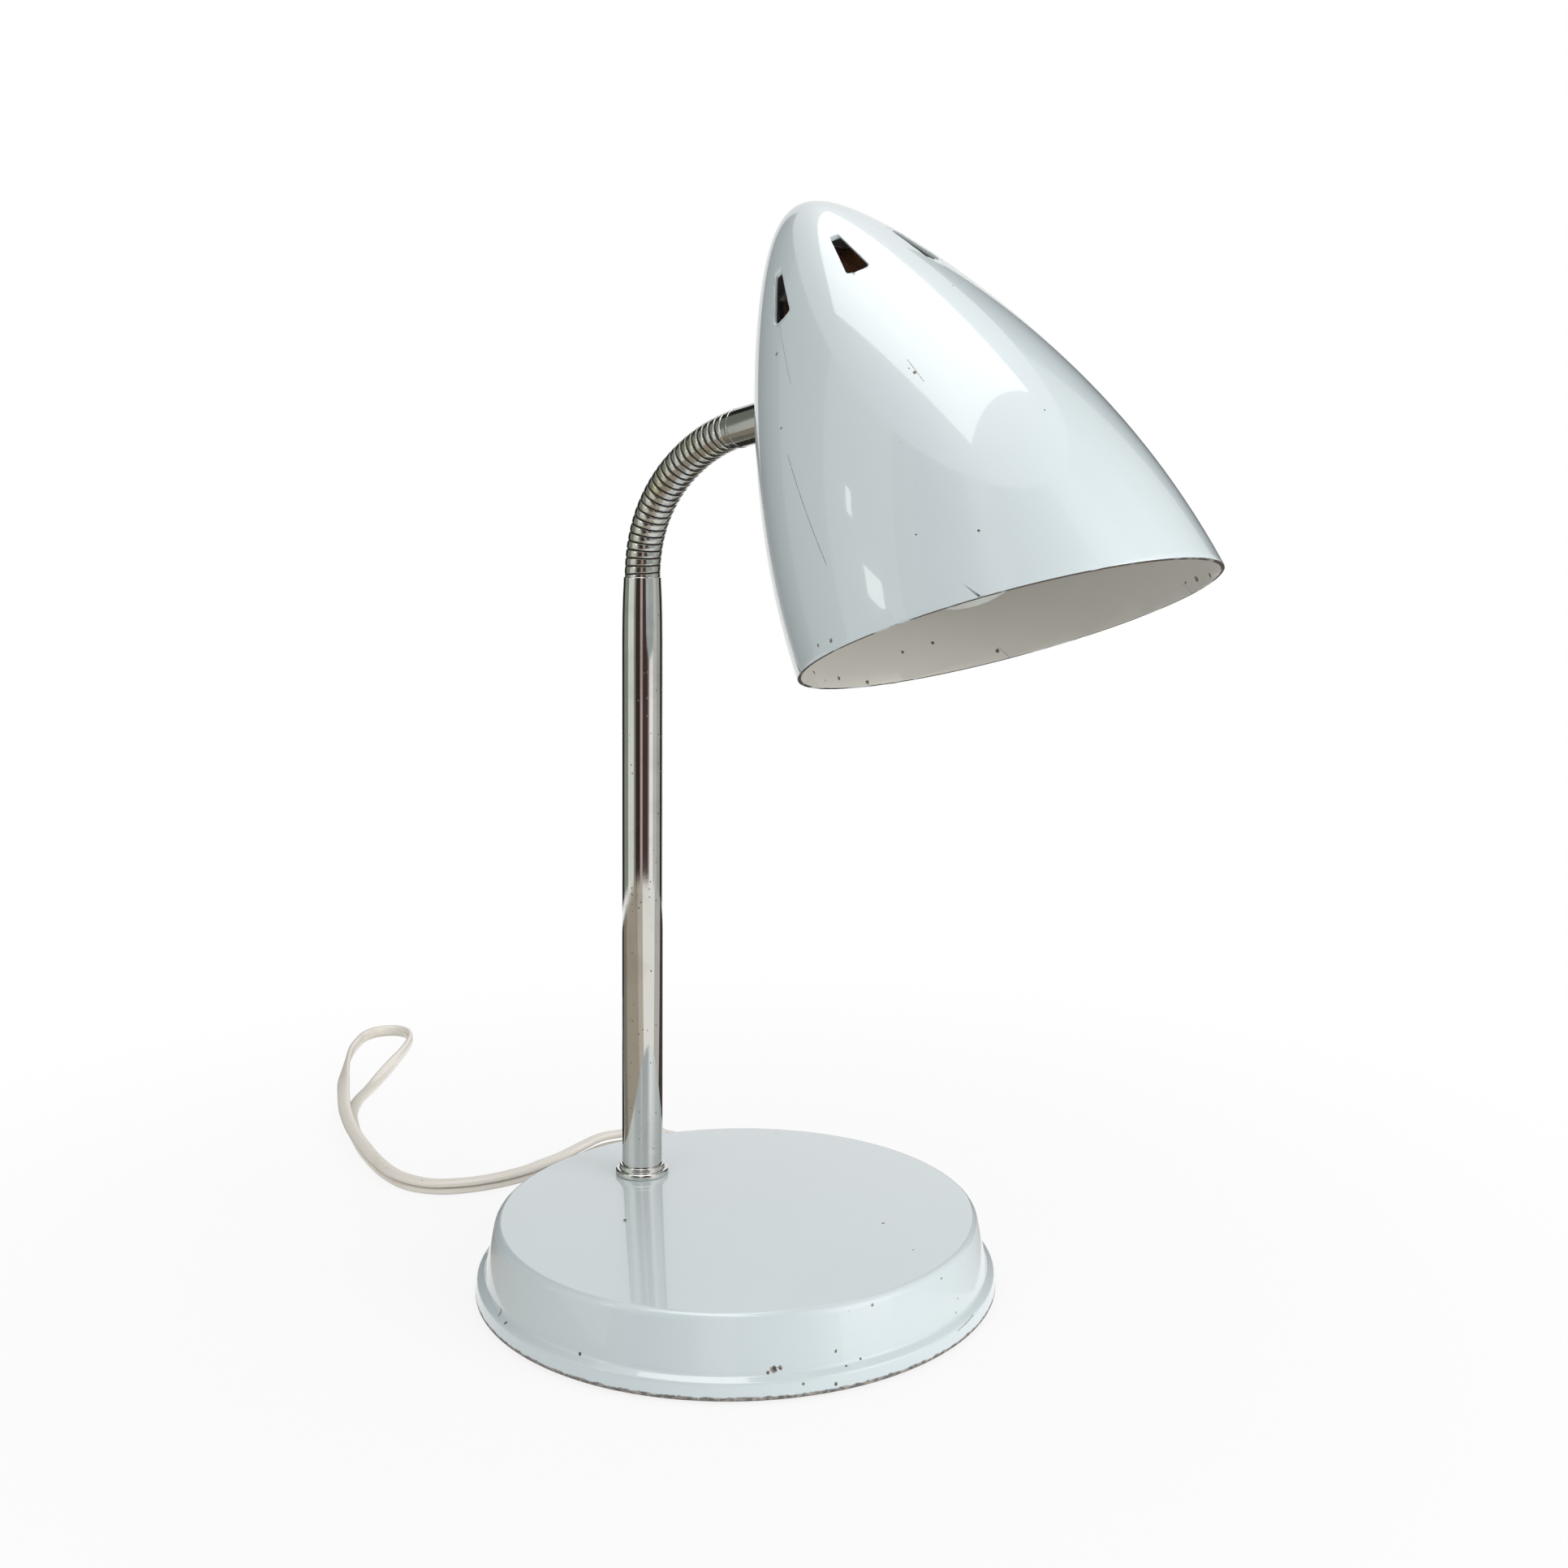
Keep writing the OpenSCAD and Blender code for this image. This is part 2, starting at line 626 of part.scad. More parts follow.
bar_out = holder_r - 0.3 + switch_travel + 0.4;  // inner face of a switch knob
module switch_bar() {
    color(bakelite) in_shade() translate([0, 0, -bar_s]) rotate([0, 90, 0]) union() {
        translate([0, 0, -bar_out - 0.2]) cylinder(r = bar_r, h = 2 * bar_out + 0.4);
        for (m = [0, 1]) mirror([0, 0, m]) translate([0, 0, bar_out])
            ring([[0, 0], [3, 0], [3, 1.6], [2.2, 2.6], [0, 2.8]]);
    }
}

contact_s = skirt_s + core_t + 1.7 + 2 * face_gap;
glass_s = contact_s + 25;
module bulb_cap() {
    color("gold") in_shade() ring([[0, -contact_s], [4, -contact_s], [4.6, -contact_s - 1],
        [9, -contact_s - 3.4], [cap_d / 2 - 1, -contact_s - 5], [cap_d / 2, -contact_s - 6.5],
        [cap_d / 2, -glass_s + 2], [cap_d / 2 - 0.4, -glass_s], [0, -glass_s]]);
}

glass_wall = 0.8;
glass_r = bulb_d / 2;
globe_s = glass_s + 32;
function glass_path(r, s) = concat(
    [[cap_d / 2 - 1.2 - glass_r + r, -glass_s - face_gap], [cap_d / 2 - 0.6 - glass_r + r, -glass_s - 5]],
    arc([0, -globe_s], r, 42, -88, 16));
module bulb_glass() {
    outer = glass_path(glass_r, 0);
    inner = glass_path(glass_r - glass_wall, 0);
    color("white", 0.8) in_shade() ring(concat(outer, [[0, -globe_s - glass_r]],
        [[0, -globe_s - glass_r + glass_wall]], reversed(inner)));
}

// ---------------------------------------------------------------- cord

// Rings swept along points [x, y, z, roll]: a flat cord, wide across and thin upright.
cord_sides = 8;
function along(p, i) = let (a = p[max(i - 1, 0)], b = p[min(i + 1, len(p) - 1)])
    unit([b[0] - a[0], b[1] - a[1], b[2] - a[2]]);
function ring_at(p, i, w, t) =
    let (f = along(p, i), side = unit(cross(f, [0, 0, 1])), up = cross(side, f), q = p[i], a = q[3])
    [for (j = [0:cord_sides - 1]) let (u = 360 * (j + 0.5) / cord_sides, x = w / 2 * cos(u), y = t / 2 * sin(u))
        [q[0], q[1], q[2]] + (x * cos(a) - y * sin(a)) * side + (x * sin(a) + y * cos(a)) * up];
module sweep(p, w, t) {
    n = len(p);
    m = cord_sides;
    polyhedron(
        points = [for (i = [0:n - 1]) each ring_at(p, i, w, t)],
        faces = concat(
            [[for (j = [0:m - 1]) j]],
            [for (i = [0:n - 2], j = [0:m - 1])
                [i * m + j, (i + 1) * m + j, (i + 1) * m + (j + 1) % m, i * m + (j + 1) % m]],
            [[for (j = [m - 1:-1:0]) (n - 1) * m + j]]));
}

sleeve_end = exit_dir * (wall_at_exit + sleeve_l - 1);
low = 1.4;                    // height of a cord that lies flat on the surface
over = 4.2;                   // height of a cord that lies flat on another
edge = 2.7;                   // height of a cord that stands on its edge
out_route = [
    [sleeve_end[0], sleeve_end[1], exit_z, 0], [54, 96, 11.6, 0], [54.8, 102.5, 10.6, 0],
    [52.5, 108.8, 9.4, 0], [47.5, 113.8, 8.6, 0], [40.5, 117.3, 8, 0], [32, 119.4, 5.8, 0],
    [23, 120, over, 0], [14, 119.3, over, 0],
    [4, 118.6, over, 0], [-9, 121, over, 0], [-20, 126.3, over, 0], [-28.5, 135, over, 0],
    [-31.5, 150, over, 0], [-28.5, 167, over, 0], [-22.5, 186, over, 0], [-15, 206, over, 0],
    [-5, 227, over, 0], [6, 246, over, 0], [16, 262, 3.8, 15], [26, 277, 3, 50],
    [37, 292, edge, 75], [47, 304.5, edge, 90]];
hook_route = [
    [56.5, 314, edge, 90], [64.5, 320.5, edge, 90], [73, 322.5, edge, 90], [80, 318.5, edge, 90],
    [81.5, 310.5, edge, 90], [77, 301, edge, 90], [69, 292, edge, 90], [59, 282.5, edge, 85]];
back_route = [
    [48, 273, 2.6, 60], [36, 263, 2.1, 30], [24, 253, 1.6, 8], [11, 242.5, low, 0], [0, 230, low, 0],
    [-9, 215, low, 0], [-17, 198, low, 0], [-24, 180, low, 0], [-29.5, 160, low, 0], [-30.5, 143, low, 0],
    [-25, 131, low, 0], [-15, 124, low, 0], [-3, 120, low, 0], [10, 118.8, low, 0], [24, 119.8, low, 0],
    [34, 119.6, 1.9, 35], [42.6, 117, 2.9, 70], [50.5, 112, 3.35, 90]];
module cord_run() {
    color(flex) sweep(concat(out_route, hook_route, back_route), cord_w, cord_t);
}

// The cord inside the base, from its bushing to the clamp under the ballast.
module cord_inner() {
    mid = weight_z - (clamp_drop - 1) / 2;
    color(flex) sweep([for (q = [[bush_in + 6, exit_z], [bush_in, exit_z], [bush_in - 5, exit_z - 0.5],
        [bush_in - 13, exit_z - 1.8], [bush_in - 22, mid], [clamp_at, mid], [clamp_at - 5, mid]])
        [exit_dir[0] * q[0], exit_dir[1] * q[0], q[1], 0]], cord_w, cord_t);
}

coil_half = coil_r + cord_t / 2;
coil_mid = base_d / 2 + 3.4 + coil_half;
coil_low = 0.75;
coil_h = cord_w + 0.2;        // the coiled cord stands on its edge
module at_coil(z) {
    rotate([0, 0, coil_angle - 90]) translate([0, coil_mid, z]) children();
}

module cord_coil() {
    color(flex) at_coil(coil_low) union() {
        translate([-coil_side / 2, -coil_half, 0]) cube([coil_side, 2 * coil_half, coil_h]);
        for (x = [-coil_side / 2, coil_side / 2]) translate([x, 0, 0]) cylinder(r = coil_half, h = coil_h);
    }
}

// Plastic-covered wire tie round the coil.
tie_w = 4;
tie_t = 0.6;
module cord_tie() {
    fit = 0.08;
    color("gray") at_coil(coil_low) translate([-coil_side / 4 - tie_w, 0, 0]) difference() {
        translate([0, -coil_half - fit - tie_t, -fit - tie_t / 2])
            cube([tie_w, 2 * (coil_half + fit + tie_t), coil_h + 2 * fit + 1.5 * tie_t]);
        translate([-slack, -coil_half - fit, -fit])
            cube([tie_w + 2 * slack, 2 * (coil_half + fit), coil_h + 2 * fit]);
    }
}

// The plug lies on the surface beyond the coil, close behind the base, with its cord end first.
plug_turn = 32;               // how far round the base the plug lies from the coil
plug_aim = coil_angle - plug_turn - 105; // direction that its pins point in, from +X towards +Y
plug_rho = base_d / 2 + 3.5 + plug_w / 2;
plug_at = [plug_rho * cos(coil_angle - plug_turn), plug_rho * sin(coil_angle - plug_turn)];
module at_plug() {
    translate([plug_at[0], plug_at[1], plug_t / 2 + 0.1]) rotate([0, 0, plug_aim])
        translate([-plug_l / 2, 0, 0]) children();
}

module plug_body() {
    tail = 4.4;
    color("gainsboro") at_plug() intersection() {
        translate([0, 0, -plug_t / 2]) linear_extrude(plug_t) polygon(concat(
            arc([plug_l - 3, plug_w / 2 - 3], 3, 90, 0, 4),
            arc([plug_l - 3, -plug_w / 2 + 3], 3, 0, -90, 4),
            [[plug_l * 0.45, -plug_w / 2 + 0.6], [plug_l * 0.2, -plug_w * 0.32], [0, -tail], [0, tail],
             [plug_l * 0.2, plug_w * 0.32], [plug_l * 0.45, plug_w / 2 - 0.6]]));
        rotate([0, 90, 0]) translate([0, 0, -slack]) linear_extrude(plug_l + 2 * slack)
            polygon([for (i = [0:31]) let (a = 360 * i / 32, c = cos(a), s = sin(a))
                [plug_t / 2 * sign(c) * pow(abs(c), 0.55), plug_w / 2 * sign(s) * pow(abs(s), 0.8)]]);
    }
}

pin_pitch = 19;
pin_l = 19;
module plug_pins() {
    color(steel) at_plug() for (y = [-pin_pitch / 2, pin_pitch / 2]) translate([plug_l, y, 0])
        rotate([0, 90, 0]) ring([[0, -4], [2, -4], [2, pin_l - 1.5], [1.2, pin_l], [0, pin_l]]);
}

// A point on the surface, seen from the middle of the coil.
function from_coil(p) = [p * [sin(coil_angle), -cos(coil_angle)], p * polar(1, coil_angle) - coil_mid];

// The last of the cord: it rises from the coil's inner turn, crosses its outer turns and enters the plug.
module cord_tail() {
    mouth = from_coil(plug_at - plug_l / 2 * polar(1, plug_aim));
    back = from_coil(plug_at - (plug_l / 2 + 1) * polar(1, plug_aim)) - mouth;
    top = coil_low + coil_h + cord_t / 2 + 0.2;
    y = coil_r - 3 * (cord_t + 0.1);
    color(flex) at_coil(0) sweep([
        [5, y, coil_low + cord_w / 2, 90], [14, y - 0.8, 5, 60], [22, y - 3.6, top - 0.6, 30],
        [30, y - 8.6, top + 0.05, 0], for (q = [[9.8, top], [4.8, 6.5], [0, plug_t / 2 + 0.1], [-5, plug_t / 2 + 0.1]])
            [mouth[0] + q[0] * back[0], mouth[1] + q[0] * back[1], q[1], 0]], cord_w, cord_t);
}

base_cover();
base_weight();
bottom_plate();
felt_pad();
bottom_screw();
cord_bushing();
cord_clamp();
clamp_screws();
base_nipple();
base_washer();
base_nut();
stem();
stem_bush();
stem_collar();
cord_inner();
neck_socket();
for (k = [1:link_n - 1]) neck_link(k);
neck_ferrule();
shade();
arm_nipple();
arm_washer();
arm_nut();
holder_bracket();
holder_nipple();
holder_nut();
holder_cap();
holder_skirt();
holder_core();
holder_shell();
centre_contact();
switch_bar();
bulb_cap();
bulb_glass();
cord_run();
cord_coil();
cord_tail();
cord_tie();
plug_body();
plug_pins();
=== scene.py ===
import json
import math

import bmesh
import bpy
from bpy.props import FloatProperty, FloatVectorProperty, IntProperty, PointerProperty
from mathutils import Matrix, Vector

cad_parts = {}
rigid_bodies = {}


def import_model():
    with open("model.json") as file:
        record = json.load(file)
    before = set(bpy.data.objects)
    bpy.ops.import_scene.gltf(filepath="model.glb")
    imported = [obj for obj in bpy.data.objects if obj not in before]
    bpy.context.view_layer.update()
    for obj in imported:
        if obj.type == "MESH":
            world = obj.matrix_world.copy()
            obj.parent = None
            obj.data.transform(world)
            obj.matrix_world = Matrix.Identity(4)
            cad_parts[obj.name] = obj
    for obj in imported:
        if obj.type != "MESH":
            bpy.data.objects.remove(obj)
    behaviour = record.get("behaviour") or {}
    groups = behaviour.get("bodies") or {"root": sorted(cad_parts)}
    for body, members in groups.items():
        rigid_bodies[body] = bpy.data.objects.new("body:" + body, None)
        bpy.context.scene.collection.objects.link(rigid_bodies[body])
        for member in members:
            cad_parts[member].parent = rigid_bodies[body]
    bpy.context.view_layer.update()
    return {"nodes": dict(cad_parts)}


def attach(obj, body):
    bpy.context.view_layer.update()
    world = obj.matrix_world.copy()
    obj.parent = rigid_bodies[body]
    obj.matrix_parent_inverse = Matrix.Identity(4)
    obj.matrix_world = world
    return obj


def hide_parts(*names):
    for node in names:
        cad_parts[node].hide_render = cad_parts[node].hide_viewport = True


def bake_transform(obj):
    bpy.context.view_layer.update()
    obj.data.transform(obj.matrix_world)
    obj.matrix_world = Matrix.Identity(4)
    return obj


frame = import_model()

bl_info = {
    "name": "Gooseneck desk lamp",
    "version": (1, 0, 0),
    "blender": (4, 5, 0),
    "location": "View3D > Sidebar > Lamp",
    "description": "Builds the enamel, chrome and cord of a small gooseneck desk lamp on its packed parts",
    "category": "Object",
}

MM = 0.001
UP = Vector((0, 0, 1))


# ------------------------------------------------------------------ route of the cord

# Points of the flat cord in millimetres, with its roll in degrees: 0 lies flat, 90 stands on its edge.
SLEEVE_END = (50.33, 87.17, 12.2, 0)
OUT_ROUTE = [
    SLEEVE_END, (54, 96, 11.6, 0), (54.8, 102.5, 10.6, 0), (52.5, 108.8, 9.4, 0), (47.5, 113.8, 8.6, 0),
    (40.5, 117.3, 8, 0), (32, 119.4, 5.8, 0), (23, 120, 4.2, 0), (14, 119.3, 4.2, 0), (4, 118.6, 4.2, 0),
    (-9, 121, 4.2, 0), (-20, 126.3, 4.2, 0), (-28.5, 135, 4.2, 0), (-31.5, 150, 4.2, 0), (-28.5, 167, 4.2, 0),
    (-22.5, 186, 4.2, 0), (-15, 206, 4.2, 0), (-5, 227, 4.2, 0), (6, 246, 4.2, 0), (16, 262, 3.8, 15),
    (26, 277, 3, 50), (37, 292, 2.7, 75), (47, 304.5, 2.7, 90)]
HOOK_ROUTE = [
    (56.5, 314, 2.7, 90), (64.5, 320.5, 2.7, 90), (73, 322.5, 2.7, 90), (80, 318.5, 2.7, 90),
    (81.5, 310.5, 2.7, 90), (77, 301, 2.7, 90), (69, 292, 2.7, 90), (59, 282.5, 2.7, 85)]
BACK_ROUTE = [
    (48, 273, 2.6, 60), (36, 263, 2.1, 30), (24, 253, 1.6, 8), (11, 242.5, 1.4, 0), (0, 230, 1.4, 0),
    (-9, 215, 1.4, 0), (-17, 198, 1.4, 0), (-24, 180, 1.4, 0), (-29.5, 160, 1.4, 0), (-30.5, 143, 1.4, 0),
    (-25, 131, 1.4, 0), (-15, 124, 1.4, 0), (-3, 120, 1.4, 0), (10, 118.8, 1.4, 0), (24, 119.8, 1.4, 0),
    (34, 119.6, 1.9, 35), (42.6, 117, 2.9, 70), (50.5, 112, 3.35, 90)]
# The hank lies behind the base. Its turns, outermost first, are given by half their width, and the route's
# points on their straight sides by how far they stand in from the sides' ends.
HANK_PLACE = Matrix.Rotation(math.radians(-36), 4, "Z") @ Matrix.Translation((0, 105, 0))
HANK_SIDE = 50
HANK_TURNS = (15.3, 12.6, 9.9, 7.2)
HANK_Z = 3.35
HANK_START, HANK_END = 8, 6
# From the innermost turn over the others to the plug, in the hank's own place.
TAIL = [(5, 7.2, 3.4, 90), (14, 6.6, 5, 60), (22, 5.6, 7, 30), (30, 3.2, 7.7, 0), (36.3, -0.9, 7.7, 0),
        (40.4, -5.2, 7, 0), (43.6, -8.7, 5.2, 0), (47, -12.4, 5.1, 0)]

FLEX_WIDE, FLEX_THICK = 5.2, 2.6
FLEX_STEP = 2.4


def half_turn(x, y, radius, side):
    """Half a circle round a point, bulging towards +X for side 1 and towards -X for side -1."""
    return [(x + side * radius * math.sin(a), y + side * radius * math.cos(a))
            for a in (math.radians(degrees) for degrees in range(0, 181, 20))]


def hank_route():
    """The wound part of the cord: nested turns on edge, each with two straight sides."""
    half = HANK_SIDE / 2
    start, end = half - HANK_START, half - HANK_END
    flat = []
    for here, after in zip(HANK_TURNS, HANK_TURNS[1:]):
        flat += [(x, here) for x in (-start, 0, end)]
        flat += half_turn(half, 0, here, 1)
        flat += [(x, -here) for x in (start, 0, -end)]
        flat += half_turn(-half, (after - here) / 2, (after + here) / 2, -1)
    flat.append((-start, HANK_TURNS[-1]))
    points = [(x, y, HANK_Z, 90) for x, y in flat] + TAIL
    return [(*(HANK_PLACE @ Vector((x, y, 0))).xy, z, roll) for x, y, z, roll in points]


def smooth_route(points, step, parts=12):
    """Evenly spaced points on a smooth curve through the given ones, worked out in parts between them."""
    fine = []
    ends = [points[0], *points, points[-1]]
    for i in range(1, len(ends) - 2):
        a, b, c, d = (Vector(p) for p in ends[i - 1:i + 3])
        for k in range(parts):
            t = k / parts
            fine.append(0.5 * ((2 * b) + (c - a) * t + (2 * a - 5 * b + 4 * c - d) * t * t
                               + (3 * b - 3 * c + d - a) * t ** 3))
    fine.append(Vector(points[-1]))
    even, left = [fine[0]], step
    for a, b in zip(fine, fine[1:]):
        gap = (b.xyz - a.xyz).length
        while gap >= left:
            a = a.lerp(b, left / gap)
            even.append(a.copy())
            gap, left = (b.xyz - a.xyz).length, step
        left -= gap
    return even


# ------------------------------------------------------------------ sizes and colours to change

class LampFinish(bpy.types.PropertyGroup):
    """Colours and wear of the lamp's finishes."""
    enamel: FloatVectorProperty(name="Enamel", description="Colour of the stoved enamel outside",
                                subtype="COLOR", size=3, min=0, max=1, default=(0.60, 0.672, 0.69))
    # The lining's default colour is darker than the real off-white paint: it holds painted shade for the dim
    # inside of the shade.
    lining: FloatVectorProperty(name="Lining", description="Colour of the paint inside the shade",
                                subtype="COLOR", size=3, min=0, max=1, default=(0.60, 0.582, 0.53))
    flex: FloatVectorProperty(name="Flex", description="Colour of the cord and plug",
                              subtype="COLOR", size=3, min=0, max=1, default=(0.80, 0.76, 0.69))
    bakelite: FloatVectorProperty(name="Bakelite", description="Colour of the lampholder",
                                  subtype="COLOR", size=3, min=0, max=1, default=(0.085, 0.036, 0.016))
    chrome: FloatVectorProperty(name="Chrome", description="Colour of the plated parts",
                                subtype="COLOR", size=3, min=0, max=1, default=(0.78, 0.775, 0.75))
    wear: FloatProperty(name="Wear", description="Strength of the chips, scratches and pits",
                        subtype="FACTOR", min=0, max=1, default=1)


class LampSizes(bpy.types.PropertyGroup):
    """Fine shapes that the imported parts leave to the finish."""
    shade_sides: IntProperty(name="Shade sides", description="Facets round the shade",
                             min=48, max=256, default=192)
    base_sides: IntProperty(name="Base sides", description="Facets round the base",
                            min=48, max=256, default=200)
    stem_sides: IntProperty(name="Stem sides", description="Facets round the stem and its collar",
                            min=24, max=192, default=96)
    edge: FloatProperty(name="Edge", description="Rounding of the sheet's cut edges", unit="LENGTH",
                        min=0.0001, max=0.0005, default=0.0003)
    bands: IntProperty(name="Bands", description="Turns of the gooseneck's wound strip",
                       min=20, max=30, default=26)
    groove: FloatProperty(name="Groove", description="Depth of the groove between two turns of the gooseneck",
                          unit="LENGTH", min=0.0002, max=0.0008, default=0.00055)
    flex_sides: IntProperty(name="Flex sides", description="Facets round the cord", min=8, max=24, default=14)


class LampStage(bpy.types.PropertyGroup):
    """Light and floor."""
    key: FloatProperty(name="Key light", description="Power of the large soft light", unit="POWER",
                       min=0, max=40, default=9.5)
    left: FloatProperty(name="Left light", description="Power of the left light as a share of the key's",
                        subtype="FACTOR", min=0, max=1, default=0.16)
    fill: FloatProperty(name="Fill", description="Light from all round", min=0, max=2, default=0.74)
    window: FloatProperty(name="Windows", description="Brightness of the windows that the enamel mirrors",
                          min=0, max=40, default=5)


# ------------------------------------------------------------------ shader expressions

class Num:
    """A number that varies over a surface. An expression on it adds its Math nodes."""

    def __init__(self, nodes, socket):
        self.nodes, self.socket = nodes, socket

    def maths(self, operation, *values):
        node = self.nodes.node("ShaderNodeMath", {"operation": operation}, dict(enumerate(values)))
        return Num(self.nodes, node.outputs[0])

    def __add__(self, other):
        return self.maths("ADD", self, other)

    def __sub__(self, other):
        return self.maths("SUBTRACT", self, other)

    def __rsub__(self, other):
        return self.maths("SUBTRACT", other, self)

    def __mul__(self, other):
        return self.maths("MULTIPLY", self, other)

    def __truediv__(self, other):
        return self.maths("DIVIDE", self, other)

    def __gt__(self, other):
        return self.maths("GREATER_THAN", self, other)

    def __lt__(self, other):
        return self.maths("LESS_THAN", self, other)

    def __or__(self, other):
        return self.maths("MAXIMUM", self, other)

    def __abs__(self):
        return self.maths("ABSOLUTE", self)

    def root(self):
        return self.maths("SQRT", self)

    __radd__, __rmul__ = __add__, __mul__


class Nodes:
    """The nodes of a surface or of the world."""

    def __init__(self, tree):
        self.tree = tree

    def join(self, socket, value):
        """Gives a socket a value, or a link from another node."""
        if isinstance(value, Num):
            value = value.socket
        if isinstance(value, bpy.types.NodeSocket):
            self.tree.links.new(value, socket)
        elif socket.type == "RGBA" and len(value) == 3:
            socket.default_value = (*value, 1)
        else:
            socket.default_value = value

    def node(self, kind, settings=None, sockets=None):
        """Adds a node: first its settings, then the values or links of its sockets."""
        made = self.tree.nodes.new(kind)
        for name, value in (settings or {}).items():
            setattr(made, name, value)
        for name, value in (sockets or {}).items():
            self.join(made.inputs[name], value)
        return made

    def shown(self):
        """1 to the camera, to a mirror and through glass, and 0 to what the surface only lights."""
        paths = self.node("ShaderNodeLightPath").outputs
        seen = Num(self, paths["Is Camera Ray"]) | Num(self, paths["Is Glossy Ray"])
        return seen | Num(self, paths["Is Transmission Ray"])


class Finish(Nodes):
    """The nodes of one surface finish, round one Principled shader."""

    def __init__(self, name, constants=None):
        self.material = bpy.data.materials.new(name)
        self.material.use_nodes = True
        super().__init__(self.material.node_tree)
        self.shader = self.tree.nodes["Principled BSDF"]
        for socket, value in (constants or {}).items():
            self.give(socket, value)

    def give(self, socket, value):
        self.join(self.shader.inputs[socket], value)

    def place(self, stretch=None):
        """Object coordinates, or the same with their pattern stretched along each axis."""
        coords = self.node("ShaderNodeTexCoord").outputs["Object"]
        if stretch is None:
            return coords
        return self.node("ShaderNodeMapping", {"vector_type": "TEXTURE"},
                         {"Vector": coords, "Scale": stretch}).outputs[0]

    def split(self, vector):
        node = self.node("ShaderNodeSeparateXYZ", sockets={0: vector})
        return [Num(self, socket) for socket in node.outputs]

    def noise(self, vector, scale, detail=2.0, roughness=0.5, distortion=0.0):
        return Num(self, self.node("ShaderNodeTexNoise", sockets={
            "Vector": vector, "Scale": scale, "Detail": detail, "Roughness": roughness,
            "Distortion": distortion}).outputs[0])

    def ease(self, value, low, high):
        """Rises smoothly from 0 at low to 1 at high, which may also be the lower of the two."""
        return Num(self, self.node("ShaderNodeMapRange", {"interpolation_type": "SMOOTHSTEP"}, {
            "Value": value, "From Min": low, "From Max": high}).outputs[0])

    def cells(self, vector, scale):
        """Irregular cells: the distance from the middle of each, and a number that is its own."""
        made = self.node("ShaderNodeTexVoronoi", sockets={"Vector": vector, "Scale": scale})
        own = self.node("ShaderNodeSeparateColor", sockets={0: made.outputs["Color"]})
        return Num(self, made.outputs["Distance"]), Num(self, own.outputs[0])

    def specks(self, vector, scale, size, share):
        """Scattered round specks: a share of the cells holds one, of a size measured in cells."""
        distance, own = self.cells(vector, scale)
        return self.ease(distance, size, size * 0.6) * (own < share)

    def spot(self, vector, centre, radius, ragged=0):
        """A mark round a point in millimetres; ragged moves its edge in and out."""
        reach = Num(self, self.node("ShaderNodeVectorMath", {"operation": "DISTANCE"}, {
            0: vector, 1: tuple(c * MM for c in centre)}).outputs["Value"])
        return self.ease(reach + ragged * radius * MM, radius * MM, radius * 0.7 * MM)

    def line(self, vector, start, end, normal, width, ragged=0):
        """A scratch between two points in millimetres on a surface that faces along normal."""
        a, b = Vector(start) * MM, Vector(end) * MM
        along, across = b - a, (b - a).cross(Vector(normal)).normalized()
        off = self.node("ShaderNodeVectorMath", {"operation": "SUBTRACT"}, {0: vector, 1: a}).outputs[0]

        def measured(axis):
            return Num(self, self.node("ShaderNodeVectorMath", {"operation": "DOT_PRODUCT"},
                                       {0: off, 1: axis}).outputs["Value"])
        t = measured(along / along.length_squared)
        this_side = measured(Vector(normal).normalized()) > -3 * MM
        core = self.ease(abs(measured(across)) + ragged * width * MM, width * MM, width * 0.4 * MM)
        return core * (t > 0) * (t < 1) * this_side

    def mix(self, a, b, factor):
        """Colour a where the factor is 0 and colour b where it is 1."""
        return self.node("ShaderNodeMix", {"data_type": "RGBA"}, {0: factor, 6: a, 7: b}).outputs[2]

    def bump(self, height, distance, strength=1.0):
        """A raised pattern; distance is how high a height of 1 stands, in millimetres."""
        self.give("Normal", self.node("ShaderNodeBump", sockets={
            "Height": height, "Distance": distance * MM, "Strength": strength}).outputs[0])


def tone(colour, k):
    """A colour made darker or lighter; k is one number, or one for each of red, green and blue."""
    factors = k if isinstance(k, tuple) else (k, k, k)
    return tuple(min(1, c * factor) for c, factor in zip(colour, factors))


def lamp_colour(name):
    """One of the lamp's colours, as it is set in the panel."""
    return tuple(getattr(bpy.context.scene.lamp_finish, name))


# ------------------------------------------------------------------ finishes

DARK_STEEL, BROWN_STEEL = (0.06, 0.052, 0.045), (0.30, 0.25, 0.21)
DUST = (0.30, 0.26, 0.21)
PIT = (0.11, 0.075, 0.05)
GRIME = (0.32, 0.28, 0.23)


def all_marks(finish, vector, marks, ragged):
    """The joined mask of several chips, each a point and a radius in millimetres."""
    mask = None
    for x, y, z, radius in marks:
        spot = finish.spot(vector, (x, y, z), radius, ragged)
        mask = spot if mask is None else mask | spot
    return mask


